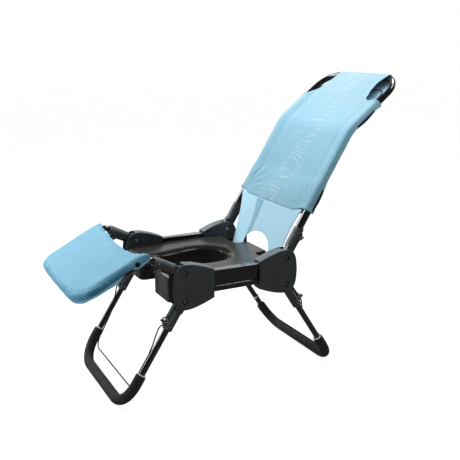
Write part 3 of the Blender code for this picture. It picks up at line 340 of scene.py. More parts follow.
def knitted_mesh(name, colour, pitch, painted_glints, *painted_trends):
    """Warp-knitted polyester mesh: staggered holes, fine ribs, and a painted shimmer of pale light for
    two layers.

    The ribs are drawn at three times their real pitch of 1.6 mm: finer ones would not show.
    painted_glints is how far the painted shimmer, and a painted light that grows up the cloth, go to a
    pale highlight colour.  Each of the painted_trends paints light and shade as a drift of the tone:
    its direction, where it starts and ends, and its two values.
    """
    material, tree, shader = new_material(name, colour, 0.72, IOR=1.46, Sheen_Weight=0.35,
                                          Sheen_Roughness=0.35)
    places = add_node(tree, "UVMap", uv_map="cloth")["UV"]
    parts = add_node(tree, "SeparateXYZ", {"Vector": places})

    def work(operation, *values):
        return add_node(tree, "Math", dict(enumerate(values)), operation=operation)["Value"]

    def wave(x_share, y_share):
        turn = 2 * math.pi / pitch
        across = work("MULTIPLY", parts["X"], turn * x_share)
        return work("SINE", work("MULTIPLY_ADD", parts["Y"], turn * y_share, across))

    holes = work("MULTIPLY", wave(0.5, 0.5), wave(0.5, -0.5))
    height = spread(tree, holes, 0.0, 1.0, (-1.0, 1.0))
    drift = add_node(tree, "TexNoise", {"Vector": places, "Scale": 1 / 0.13, "Detail": 1.0})["Color"]
    bent = add_node(tree, "VectorMath", {
        0: drift, 1: (0.07, 0.07, 0.0), 2: places}, operation="MULTIPLY_ADD")["Vector"]
    ribs = add_node(tree, "TexWave", {"Vector": bent, "Scale": 0.314 / 0.0048},
                    bands_direction="X")["Fac"]
    # Painted shimmer: rings of painted highlight in soft patches, strongest near the middle of the cloth
    centre = add_node(tree, "Mapping", {"Vector": bent, "Location": (-0.02, 0.03, 0.0)})["Vector"]
    arcs = add_node(tree, "TexWave", {"Vector": centre, "Scale": 0.314 / 0.0185}, wave_type="RINGS",
                    rings_direction="SPHERICAL")["Fac"]
    column = spread(tree, work("ABSOLUTE", work("ADD", parts["X"], 0.012)), 1.0, 0.12, (0.020, 0.095),
                    interpolation_type="SMOOTHSTEP")
    patches = spread(tree, grain(tree, places, 0.050, 1.0), 0.15, 1.0, (0.40, 0.60))
    shimmer = work("MULTIPLY", arcs, work("MULTIPLY", patches, column))
    tone = spread(tree, ribs, 0.962, 1.028, FULL)
    # Painted light and shade: each trend makes the tone darker or lighter along one direction
    for side, start, end, first, last in painted_trends:
        tone = work("MULTIPLY", tone, spread(tree, parts[side], first, last, (start, end)))
    edge = add_node(tree, "Attribute", attribute_name="from_edge")["Fac"]
    hem = spread(tree, edge, 0.95, 1.0, (0.0058, 0.0068))
    cloth = add_node(tree, "VectorMath", {
        0: tinted(tree, colour, height, 0.90, 1.07), "Scale": work("MULTIPLY", tone, hem)},
        operation="SCALE")["Vector"]
    # Painted light: the shimmer, and a lightening towards the upper end of the cloth, mix the colour
    # towards a pale highlight
    painted_haze = work("ADD", spread(tree, shimmer, 0.0, painted_glints, (0.1, 1.0)),
                spread(tree, parts["Y"], 0.0, painted_glints * 0.9, (0.40, 0.62)))
    painted_glinting = add_node(tree, "Mix", {"Factor": painted_haze, "A": cloth, "B": linear("#DCE9EE")},
                        data_type="VECTOR")["Result"]
    feed(shader, Base_Color=painted_glinting, Normal=relief(tree, height, 0.00035, 0.8))
    return material


def padded_cloth(colour):
    """Brushed polyester over wadding: a fine plain weave, matte, with painted shade in its folds, side
    walls and side openings.
    """
    material, tree, shader = new_material("Brushed polyester", colour, 0.80, IOR=1.46,
                                          Sheen_Weight=0.05, Sheen_Roughness=0.5,
                                          Specular_IOR_Level=0.20)
    places = object_places(tree)
    nap = grain(tree, places, 0.0012, 4.0)
    rubbed = spread(tree, grain(tree, places, 0.045, 3.0), 0.96, 1.05, (0.3, 0.7))
    # Painted shade: the fold_shade colour, laid on by the pad's seams, darkens the cloth
    shade = add_node(tree, "Attribute", attribute_name="fold_shade")["Color"]
    even = add_node(tree, "VectorMath", {
        0: tinted(tree, colour, nap, 0.90, 1.08), "Scale": rubbed}, operation="SCALE")["Vector"]
    cloth = add_node(tree, "VectorMath", {0: even, 1: shade}, operation="MULTIPLY")["Vector"]
    feed(shader, Base_Color=cloth, Normal=relief(tree, nap, 0.00018, 0.7))
    return material


def hook_tape(colour):
    """Black hook tape: a matte woven ground with rows of tiny hooks."""
    material, tree, shader = new_material("Woven hook tape", colour, 0.85, IOR=1.50)
    hooks = add_node(tree, "TexVoronoi", {"Vector": object_places(tree), "Scale": 1 / 0.0018})["Distance"]
    feed(shader, Base_Color=tinted(tree, colour, hooks, 0.6, 1.5),
         Normal=relief(tree, hooks, 0.0004, 0.8))
    return material


# Ways of making a shape


class Arm:
    """A swinging frame's directions: across, out to its triggers, and along its sockets."""

    def __init__(self, name, hinge, side):
        self.pivot = Vector(JOINTS[name + hinge]["pos_m"])
        self.along = Vector(JOINTS[name + "_bail_slide"]["axis"])
        self.out = Vector((0.0, self.along.z, -self.along.y)) * side

    def place(self, x, out, along):
        return self.pivot + Vector((x, 0.0, 0.0)) + self.out * out + self.along * along


ARMS = {"front_leg": Arm("front_leg", "_fold", 1), "rear_leg": Arm("rear_leg", "_fold", -1),
        "back": Arm("back", "_recline", 1), "calf": Arm("calf", "_tilt", -1)}
BACK = ARMS["back"]
CALF = ARMS["calf"]


def corner(reach, radius, inset=0.0, steps=10):
    """Points (x, out, along) round the left outer corner of a frame, or of a wire inside it."""
    turns = [math.pi / 2 * k / steps for k in range(steps + 1)]
    return [(HALF_TRACK - inset - radius + radius * math.cos(t), 0.0,
             reach - radius + radius * math.sin(t)) for t in turns]


def leaned(point, start, lean):
    """Turn a point (x, out, along) about the frame's bend at start."""
    x, out, along = point
    angle = math.radians(lean)
    far = along - start
    return (x, out * math.cos(angle) + far * math.sin(angle),
            start + far * math.cos(angle) - out * math.sin(angle))


def both_sides(left, right=None):
    """A path from its left half, and from its right half where that differs."""
    return left + [(-x, out, along) for x, out, along in reversed(right or left)]


def frame_path(start, tip, run=None, inset=0.0):
    """A U-shaped path: from its start, round its bend (run) if it has one, and round its tip."""
    half = list(start)
    if run:
        at, lean, radius = run
        angle = math.radians(lean)
        back = radius * math.tan(angle / 2)
        turns = [angle * k / 8 for k in range(9)]
        half += [(HALF_TRACK - inset, radius * (1 - math.cos(t)), at - back + radius * math.sin(t))
                 for t in turns]
        tip = [leaned(point, at, lean) for point in tip]
    return both_sides(half + tip)


def leg_path(start, slip=0.0, steps=16):
    """Path of a leg frame from start; slip lowers the right end."""
    path = frame_path([(HALF_TRACK, 0.0, start)], corner(LEG_REACH, LEG_BEND, steps=steps))
    path[-1] = (-HALF_TRACK, 0.0, start + slip)
    return path


def ease(value, low, high):
    """0 below low, 1 above high, and a smooth step between."""
    t = min(1.0, max(0.0, (value - low) / (high - low)))
    return t * t * (3 - 2 * t)


def through(knots, value):
    """A smooth curve through (place, value) knots, level before the first and past the last."""
    if value <= knots[0][0]:
        return knots[0][1]
    if value >= knots[-1][0]:
        return knots[-1][1]
    i = next(k for k in range(len(knots) - 1) if value <= knots[k + 1][0])
    (a, low), (b, high) = knots[i:i + 2]
    before = knots[max(i - 1, 0)]
    after = knots[min(i + 2, len(knots) - 1)]
    step = b - a
    start = (high - before[1]) / (b - before[0]) * step
    end = (after[1] - low) / (after[0] - a) * step
    t = (value - a) / step
    return ((2 * t ** 3 - 3 * t ** 2 + 1) * low + (t ** 3 - 2 * t ** 2 + t) * start
            + (3 * t ** 2 - 2 * t ** 3) * high + (t ** 3 - t ** 2) * end)


def hump(value, middle, width):
    """1 at the middle, and falling away over the width."""
    return math.exp(-((value - middle) / width) ** 2)


def added(name, data):
    """A new object in the scene."""
    thing = bpy.data.objects.new(name, data)
    bpy.context.scene.collection.objects.link(thing)
    return thing


def show(name, mesh, material, body, stands_for=()):
    """Put a mesh in the scene as a piece that rides on a body."""
    piece = added(name, mesh)
    mesh.materials.clear()
    mesh.materials.append(material)
    mesh.shade_smooth()
    mesh.set_sharp_from_angle(angle=math.radians(42))
    if stands_for:
        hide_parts(*stands_for)
    if body:
        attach(piece, body)
    return piece


def hang(name, mesh, material, body, stands_for, thickness, offset):
    """Show a sheet of cloth, and thicken it to the side that offset says."""
    piece = show(name, mesh, material, body, stands_for)
    wall = piece.modifiers.new("cloth", "SOLIDIFY")
    wall.thickness = thickness
    wall.offset = offset
    return piece


def applied(holder):
    """The mesh of a holder with its modifiers applied; the holder goes."""
    bpy.context.view_layer.update()
    mesh = bpy.data.meshes.new_from_object(
        holder.evaluated_get(bpy.context.evaluated_depsgraph_get()))
    bpy.data.objects.remove(holder)
    return mesh


def modified(mesh, kind, **settings):
    """The mesh after one modifier."""
    holder = added("holder", mesh)
    modifier = holder.modifiers.new("change", kind)
    for name, value in settings.items():
        setattr(modifier, name, value)
    return applied(holder)


def skin(shape, rows, closed=False):
    """Span the rows of vertices with faces, and each row's end with its start if it is closed."""
    size = len(rows[0])
    for low, high in zip(rows, rows[1:]):
        for j in range(size if closed else size - 1):
            k = (j + 1) % size
            corners = (low[j], low[k], high[k], high[j])
            if None not in corners:
                shape.faces.new(corners)


def as_mesh(shape, merged=0.0):
    """The mesh of a bmesh, with vertices this close merged and its faces turned outwards."""
    if merged:
        bmesh.ops.remove_doubles(shape, verts=shape.verts, dist=merged)
        shape.normal_update()
        bmesh.ops.recalc_face_normals(shape, faces=shape.faces)
    mesh = bpy.data.meshes.new("piece")
    shape.to_mesh(mesh)
    shape.free()
    return mesh


def joined(meshes):
    """Several meshes as one."""
    whole = bmesh.new()
    for mesh in meshes:
        whole.from_mesh(mesh)
        bpy.data.meshes.remove(mesh)
    return as_mesh(whole)


def round_bar(arm, path, radius, resolution=6):
    """A round bar along the path, with closed ends."""
    data = bpy.data.curves.new("path", "CURVE")
    data.dimensions = "3D"
    data.bevel_depth = radius
    data.bevel_resolution = resolution
    data.use_fill_caps = True
    line = data.splines.new("POLY")
    line.points.add(len(path) - 1)
    for point, spot in zip(line.points, path):
        point.co = (*arm.place(*spot), 1.0)
    shape = bmesh.new()
    shape.from_mesh(applied(added("holder", data)))
    return as_mesh(shape, 0.00001)


def lathed(profile, middle, axis, sides=32, socket=None):
    """Turn a profile of (radius, height) pairs round an axis; above socket its bore is hexagonal."""
    shape = bmesh.new()
    turn = Vector((0, 0, 1)).rotation_difference(Vector(axis))
    sixth = math.pi / 3
    rings = []
    for k in range(sides):
        angle = 2 * math.pi * k / sides
        ring = []
        for radius, height in profile:
            if socket and height > socket and radius < BORE_R:
                radius *= 0.93 / math.cos(angle % sixth - sixth / 2)
            spot = Vector((radius * math.cos(angle), radius * math.sin(angle), height))
            ring.append(shape.verts.new(turn @ spot + Vector(middle)))
        rings.append(ring)
    skin(shape, rings + rings[:1])
    return as_mesh(shape, 0.000005)


class Cloth:
    """Cloth laid out vertex by vertex, each with its flat place and its distance from a hem."""

    def __init__(self):
        self.shape = bmesh.new()
        self.spots = []
        self.edges = []

    def put(self, place, spot, edge):
        self.spots.append(spot)
        self.edges.append(edge)
        return self.shape.verts.new(place)

    def mesh(self):
        mesh = as_mesh(self.shape)
        layer = mesh.uv_layers.new(name="cloth")
        for loop in mesh.loops:
            layer.data[loop.index].uv = self.spots[loop.vertex_index]
        attribute = mesh.attributes.new("from_edge", "FLOAT", "POINT")
        attribute.data.foreach_set("value", self.edges)
        return mesh


def aimed(thing, azimuth, elevation):
    """Aim a lamp or the camera from this azimuth and elevation, and give the way back to it."""
    back = Vector((math.sin(azimuth) * math.cos(elevation), -math.cos(azimuth) * math.cos(elevation),
                   math.sin(elevation)))
    thing.rotation_mode = "QUATERNION"
    thing.rotation_quaternion = (-back).to_track_quat("-Z", "Y")
    return back


# Operators


class PieceOperator:
    """What the operators of the chair's pieces share."""

    bl_options = {"REGISTER", "UNDO"}


class BATHCHAIR_OT_finishes(PieceOperator, bpy.types.Operator):
    """Give hubs, sockets, rails, seat, bolts and triggers their real finishes"""

    bl_idname = "bathchair.finishes"
    bl_label = "Frame Finishes"

    roundings = {"hub_plastic": 0.0009, "rail_anodised": 0.0003, "seat_plastic": 0.0004}
    other_rounding = 0.00025
    same_place = 0.00002   # vertices this close are one
    round_from = 35        # degrees between two faces

    def execute(self, context):
        finishes = self.finishes(context.scene.chair_colours)
        for node in frame["nodes"].values():
            slot = node.data.materials[0].name.split(".")[0]
            if slot not in finishes:
                continue
            node.data.materials[0] = finishes[slot]
            custom = node.data.attributes.get("custom_normal")
            if custom:
                node.data.attributes.remove(custom)
            node.data.shade_smooth()
            weld = node.modifiers.new("weld", "WELD")
            weld.merge_threshold = self.same_place
            bevel = node.modifiers.new("edges", "BEVEL")
            bevel.width = self.roundings.get(slot, self.other_rounding)
            bevel.segments = 3
            bevel.limit_method = "ANGLE"
            bevel.angle_limit = math.radians(self.round_from)
            even = node.modifiers.new("even", "WEIGHTED_NORMAL")
            even.weight = 80
            even.keep_sharp = False
        return {"FINISHED"}

    def finishes(self, colours):
        """The finish of each slot of the frame."""
        return {
            "hub_plastic": moulded_nylon(colours.hub),
            "seat_plastic": moulded_polypropylene(colours.seat),
            # A black gloss with the faint orange peel of baked powder
            "black_tube": finish("Gloss powder coat", colours.tube, 0.15, (1.0, 5.0),
                                 gloss=(0.12, 0.20), raised=(0.00005, 0.5, 0.0035, 1.0),
                                 stretch=(60.0, 60.0, 9.0), IOR=1.50, Coat_Weight=1.0,
                                 Coat_Roughness=0.07, Coat_IOR=1.60),
            # Dyed metal under a clear oxide skin, with the extrusion's fine die lines
            "rail_anodised": finish("Anodised aluminium", colours.tube, 0.30, (0.0006, 2.0),
                                    (0.75, 1.30), (0.18, 0.30), (0.00003, 0.5), (1.0, 0.01, 1.0),
                                    Metallic=0.85, Coat_Weight=1.0, Coat_Roughness=0.09,
                                    Coat_IOR=1.65),
            "foam": cellular_foam(colours.foam),
            # A chalky passivation film of a warm straw tint
            "steel": finish("Passivated zinc-plated steel", colours.screw, 0.40, (0.0012, 4.0),
                            (0.70, 1.20), (0.34, 0.50), (0.00004, 0.5), Metallic=0.7),
            # A thin black skin on steel wire, dulled by washing
            "wire_black": finish("PVC-dipped wire", linear("#0A0A0B"), 0.55, (0.012, 2.0),
                                 gloss=(0.48, 0.62), raised=(0.0002, 0.4), IOR=1.53,
                                 Specular_IOR_Level=0.20),
            # Triggers and discs: smooth, dense, faintly waxy
            "nylon": finish("Moulded acetal", linear("#232527"), 0.36, (0.006, 3.0), (0.85, 1.18),
                            raised=(0.00004, 0.5, 0.0009), IOR=1.48),
        }


class BATHCHAIR_OT_tubes(PieceOperator, bpy.types.Operator):
    """Draw the bent tubes with round sections and smooth bends"""

    bl_idname = "bathchair.tubes"
    bl_label = "Bent Tubes"

    pad_end = 0.0165       # middle of the calf tube's bar to the pad's outer edge
    overlap = 0.040        # upper back tube, inside the lower ones
    bore = 0.030           # depth of the lower tubes' open ends
    lip = 0.0008           # bevel of those ends

    def execute(self, context):
        coat = bpy.data.materials["Gloss powder coat"]
        leg = leg_path(SOCKET_BITE + GAP)
        calf_end = CALF_KNEE + context.scene.pad_sizes.length - self.pad_end
        tubes = (
            ("front_leg", "front_leg_tube", leg),
            ("rear_leg", "rear_leg_tube", leg),
            ("back", "back_upper_tube", frame_path(
                [(HALF_TRACK, 0.0, BACK_JOINT - self.overlap)],
                corner(BACK_TOP, BACK_CORNER, steps=18),
                BACK_RUN)),
            ("calf", "calf_tube", frame_path(
                leg[:1], corner(calf_end, CALF_CORNER, steps=14), CALF_RUN)),
        )
        for name, node, path in tubes:
            mesh = round_bar(ARMS[name], path, TUBE_R)
            show(name + "_bent_tube", mesh, coat, name, [node])
        floor = BACK_JOINT - self.bore
        profile = [(0.0, SOCKET_BITE), (LOWER_TUBE_R, SOCKET_BITE),
                   (LOWER_TUBE_R, BACK_JOINT - self.lip), (LOWER_TUBE_R - self.lip, BACK_JOINT),
                   (TUBE_R + 0.0004, BACK_JOINT), (TUBE_R + 0.0003, floor), (0.0, floor)]
        for side, name in ((1, "left"), (-1, "right")):
            mesh = lathed(profile, BACK.place(side * HALF_TRACK, 0.0, 0.0), BACK.along)
            show("back_joint_tube_" + name, mesh, coat, "back",
                 ["back_lower_tube_" + name])
        return {"FINISHED"}


class BATHCHAIR_OT_wires(PieceOperator, bpy.types.Operator):
    """Draw the four release wires with round sections"""

    bl_idname = "bathchair.wires"
    bl_label = "Release Wires"

    pad_end = 0.0565       # calf wire's bar to the pad's outer edge
    right_corner = (0.040, 0.033)      # radius and inset at the right of the leg wires

    def execute(self, context):
        skin_coat = bpy.data.materials["PVC-dipped wire"]
        tops = {name: corner(reach - WIRE_FROM_BAR[name], WIRE_CORNER, WIRE_INSET)
                for name, reach in (("rear_leg", LEG_REACH), ("back", BACK_TOP))}
        tops["front_leg"] = corner(LEG_REACH - WIRE_FROM_BAR["front_leg"], TIGHT_WIRE_CORNER,
                                   WIRE_INSET)
        far = CALF_KNEE + context.scene.pad_sizes.length - self.pad_end
        paths = {name: both_sides(self.lead() + tops[name],
                                  self.lead() + corner(LEG_REACH - WIRE_FROM_BAR[name],
                                                       *self.right_corner))
                 for name in ("front_leg", "rear_leg")}
        paths["back"] = frame_path(self.lead(), tops["back"], BACK_RUN, WIRE_INSET)
        inside = [(HALF_TRACK - inset, out, CALF_KNEE + along) for inset, out, along in (
            (0.008, 0.018, 0.010), (0.017, 0.010, 0.022), (WIRE_INSET, 0.003, 0.038),
            (WIRE_INSET, 0.0, 0.064))]
        past_knee = [leaned(point, CALF_KNEE, CALF_LEAN)
                     for point in inside + corner(far, WIRE_CORNER, WIRE_INSET)]
        paths["calf"] = both_sides([(HALF_TRACK, TRIGGER_MID, TRIGGER_END + GAP),
                                    (HALF_TRACK, TRIGGER_MID, SOCKET_END - 0.001)] + past_knee)
        for name, path in paths.items():
            mesh = round_bar(ARMS[name], path, WIRE_R, 4)
            show(name + "_release_wire", mesh, skin_coat, name + "_release",
                 [name + "_bail_wire"])
        return {"FINISHED"}

    def lead(self):
        """Wire from a trigger's end down to the inner side of its tube."""
        return [(HALF_TRACK, TRIGGER_MID, TRIGGER_END + GAP),
                (HALF_TRACK - 0.003, TRIGGER_MID + 0.0045, SOCKET_END - 0.004),
                (HALF_TRACK - 0.009, TRIGGER_MID + 0.0030, 0.108),
                (HALF_TRACK - 0.0165, 0.0110, 0.138), (HALF_TRACK - 0.0195, 0.0045, 0.160),
                (HALF_TRACK - WIRE_INSET, 0.0, 0.190)]


class BATHCHAIR_OT_foam(PieceOperator, bpy.types.Operator):
    """Cast the foam sleeves round the foot of each leg frame"""

    bl_idname = "bathchair.foam"
    bl_label = "Foam Sleeves"

    # An end of a sleeve, rolled in: distance from the end, radius
    lip = [(0.012, TUBE_R + 0.0004), (0.0, TUBE_R + 0.0004), (0.0, SLEEVE_R - 0.0030),
           (0.0007, SLEEVE_R - 0.0012), (0.0022, SLEEVE_R - 0.0002), (0.0045, SLEEVE_R)]
    step = 0.006           # between stations along the foot
    clear = 0.008          # from an end to the first station
    sides = 28
    lumps = 0.014          # share of the radius that the foam's lumps reach

    def execute(self, context):
        foam = bpy.data.materials["Closed-cell rubber foam"]
        for name, slip in (("front_leg", 0.0), ("rear_leg", REAR_SLEEVE_SLIP)):
            show(name + "_foot_sleeve", self.sleeve(ARMS[name], slip), foam, name,
                 [name + "_foam_sleeve"])
        return {"FINISHED"}

    def sleeve(self, arm, slip):
        """A thick skin along the foot, rolled in at its two ends and flat on the floor."""
        knots = [Vector(point) for point in leg_path(SLEEVE_FROM, slip, 24)]
        points = []
        for a, b in zip(knots, knots[1:]):
            steps = max(1, round((b - a).length / self.step))
            points += [a.lerp(b, k / steps) for k in range(steps)]
        points.append(knots[-1])
        reached = [0.0]
        for a, b in zip(points, points[1:]):
            reached.append(reached[-1] + (b - a).length)
        length = reached[-1]
        stations = self.lip + [(s, SLEEVE_R) for s in reached
                               if self.clear < s < length - self.clear]
        stations += [(length - s, radius) for s, radius in reversed(self.lip)]
        shape = bmesh.new()
        rows = []
        up = Vector((0, 1, 0))
        for s, radius in stations:
            spot, along = self.at(points, reached, s)
            across = along.cross(up).normalized()
            row = []
            for k in range(self.sides):
                turn = 2 * math.pi * k / self.sides
                lump = noise.noise(Vector((s * 28, math.cos(turn) * 0.8, math.sin(turn) * 0.8)))
                reach = radius * (1 + self.lumps * lump) if radius >= SLEEVE_R else radius
                world = arm.place(*(spot + (across * math.cos(turn) + up * math.sin(turn)) * reach))
                world.z = max(world.z, 0.0)
                row.append(shape.verts.new(world))
            rows.append(row)
        skin(shape, rows, closed=True)
        return as_mesh(shape, 0.000005)

    def at(self, points, reached, distance):
        """The place and direction at a distance along the points."""
        last = len(points) - 1
        i = next(k for k in range(last) if distance <= reached[k + 1] or k == last - 1)
        before, here, after = (
            (points[min(k + 1, last)] - points[max(k, 0)]).normalized() for k in (i - 1, i, i + 1))
        share = (distance - reached[i]) / (reached[i + 1] - reached[i])
        start = (here + before).normalized()
        end = (here + after).normalized()
        along = start.lerp(end, min(1.0, max(0.0, share))).normalized()
        return points[i].lerp(points[i + 1], share), along


# Outlines of the turned parts: radius, height
RING = [(0.0098, 0.0), (0.0128, 0.0), (0.0136, 0.0008), (0.0136, 0.0024), (0.0128, 0.0032),
        (0.0098, 0.0032), (0.0098, 0.0)]
BOLT = [(0.0, -0.0183), (0.0042, -0.0183), (0.0050, -0.0178), (0.0050, -BOLT_SEAT),
        (0.0039, -BOLT_SEAT), (0.0039, BOLT_SEAT), (0.0051, BOLT_SEAT), (0.0051, 0.0171),
        (0.0046, 0.0176), (0.0038, 0.0178), (0.0034, 0.0178), (0.0032, 0.0156), (0.0, 0.0156)]
# Painted shade: a near-black ring in each bolt's counterbore, and a plug in its hex socket
RECESS_SHADE_RING = [(0.0054, 0.0180), (0.0056, 0.0186), (0.0076, 0.0193), (0.0080, 0.0190), (0.0078, 0.0180),
          (0.0054, 0.0180)]
SOCKET_SHADE_PLUG = [(0.0, 0.0150), (0.0029, 0.0150), (0.0029, 0.0172), (0.0, 0.0172), (0.0, 0.0150)]
RIVET = [(radius, SOCKET_R - 0.0006 + height) for radius, height in (
    (0.0, 0.0), (0.0026, 0.0), (0.0026, 0.0005), (0.0021, 0.0011), (0.0011, 0.0014),
    (0.0, 0.0015), (0.0, 0.0))]
FLANGE = [(0.0030, 0.0092), (0.0062, 0.0092), (0.0068, 0.0084), (0.0062, 0.0076), (0.0044, 0.0074)]
EYELET = [(radius, -height) for radius, height in FLANGE] + FLANGE[::-1] + [(0.0030, -0.0092)]


class BATHCHAIR_OT_trim(PieceOperator, bpy.types.Operator):
    """Add the rings, the screws of hubs and sockets, and the eyelets of the triggers"""

    bl_idname = "bathchair.trim"
    bl_label = "Rings and Screws"

    ring_at = {("front_leg", 1): 0.2458, ("front_leg", -1): 0.2458, ("rear_leg", 1): 0.2458,
               ("rear_leg", -1): 0.2318}

    def execute(self, context):
        colours = context.scene.chair_colours
        # Bright zinc: pale, barely yellow, dulled where it is handled
        zinc = finish("Bright zinc plate", colours.rivet, 0.24, (0.0015, 3.0), gloss=(0.18, 0.36),
                      raised=(0.00003, 0.4), Metallic=1.0)
        # Off-white rings, slightly see-into, so their shade is soft
        plastic = finish("Moulded polyethylene", colours.ring, 0.42, (0.004, 3.0), (0.93, 1.04),
                         raised=(0.00005, 0.4), IOR=1.51, Subsurface_Weight=0.15)
        # Painted shade: near-black rings and plugs stand for the shade down in the bolts' recesses, where
        # next to no light is mirrored
        recess_shade = finish("Painted recess shade", linear("#050505"), 0.70, (0.0008, 3.0),
                      raised=(0.00005, 0.5), IOR=1.50, Specular_IOR_Level=0.10)
        steel = bpy.data.materials["Passivated zinc-plated steel"]
        for name in ("front_leg", "rear_leg"):
            arm = ARMS[name]
            rings = [lathed(RING, arm.place(side * HALF_TRACK, 0.0, self.ring_at[name, side]),
                            arm.along, 36) for side in (1, -1)]
            show(name + "_rings", joined(rings), plastic, name)
        pivots = [(arm.pivot + Vector((side * HALF_TRACK, 0, 0)), (side, 0, 0))
                  for arm in ARMS.values() for side in (1, -1)]
        bolts = [lathed(BOLT, middle, axis, 36, BOLT_SEAT - 0.002) for middle, axis in pivots]
        show("pivot_bolts", joined(bolts), steel, "base",
             [name + "_pivot_bolt_" + side for name in ARMS for side in ("left", "right")])
        recess_shades = [lathed(profile, middle, axis)
                   for middle, axis in pivots for profile in (RECESS_SHADE_RING, SOCKET_SHADE_PLUG)]
        show("bolt_recess_shade", joined(recess_shades), recess_shade, "base")
        for name, arm in ARMS.items():
            rivets = [lathed(RIVET, arm.place(side * HALF_TRACK, 0.0, RIVET_AT), (face, 0, 0), 20)
                      for side in (1, -1) for face in (1, -1)]
            show(name + "_socket_rivets", joined(rivets), zinc, name)
            eyes = [lathed(EYELET, arm.place(side * HALF_TRACK, *EYELET_AT), (1, 0, 0), 24)
                    for side in (1, -1)]
            show(name + "_trigger_eyelets", joined(eyes), zinc, name + "_release")
        return {"FINISHED"}


# Edges of the flap: distance from the upper pivots, distance from the chair's middle
FLAP_LEFT = [(0.571, 0.155), (0.576, 0.143), (0.584, 0.1365), (0.600, 0.131), (0.626, 0.126),
             (0.650, 0.129), (0.672, 0.139), (0.687, 0.146)]
FLAP_LEFT_REAR = [(0.571, 0.155), (0.584, 0.162), (0.620, 0.167), (0.655, 0.162), (0.687, 0.146)]
FLAP_RIGHT = [(0.571, 0.188), (0.587, 0.176), (0.606, 0.155), (0.630, 0.137), (0.655, 0.124),
              (0.687, 0.115)]
# Knee edge of the calf pad: distance from the middle, distance out from the knee
KNEE_EDGE = [(-0.219, -0.005), (-0.204, -0.001), (-0.159, 0.003), (-0.079, 0.010), (-0.010, 0.016),
             (0.062, 0.020), (0.102, 0.016), (0.141, 0.0105), (0.170, 0.004), (0.199, -0.006),
             (0.216, -0.013)]
# Lower edge of the pad's side walls: distance out from the knee, below the tube's middle
PAD_SIDE = [(0.0, 0.0010), (0.030, 0.0020), (0.045, 0.0015), (0.058, -0.0015), (0.080, 0.0005),
            (0.100, 0.0035), (0.122, 0.0060), (0.145, 0.0050), (0.200, 0.0040)]
# Edges of the lower panel and of its strap: distance up the panel, distance from the middle
PANEL_SIDE = [(0.0, 0.146), (0.040, 0.151), (0.075, 0.156), (0.115, 0.164), (0.145, 0.173),
              (0.195, 0.193)]
STRAP_RIGHT = [(0.028, -0.0830), (0.042, -0.0800), (0.118, -0.072), (0.185, -0.079)]
STRAP_LEFT = [(0.028, -0.0810), (0.042, -0.0765), (0.055, -0.0665), (0.067, -0.059),
              (0.111, -0.049), (0.185, -0.033)]


def back_skin(x, v, s):
    """A place on the back: x across, v behind the middle of the tubes, s along them."""
    angle = math.radians(BACK_LEAN)
    back = BACK_BEND * math.tan(angle / 2)
    far = s - BACK_LOWER
    if far <= -back:
        out, along, turn = 0.0, s, 0.0
    elif far >= back:
        out, along, turn = far * math.sin(angle), BACK_LOWER + far * math.cos(angle), angle
    else:
        turn = angle * (far + back) / (2 * back)
        out = BACK_BEND * (1 - math.cos(turn))
        along = BACK_LOWER - back + BACK_BEND * math.sin(turn)
    return BACK.place(x, out + v * math.cos(turn), along - v * math.sin(turn))


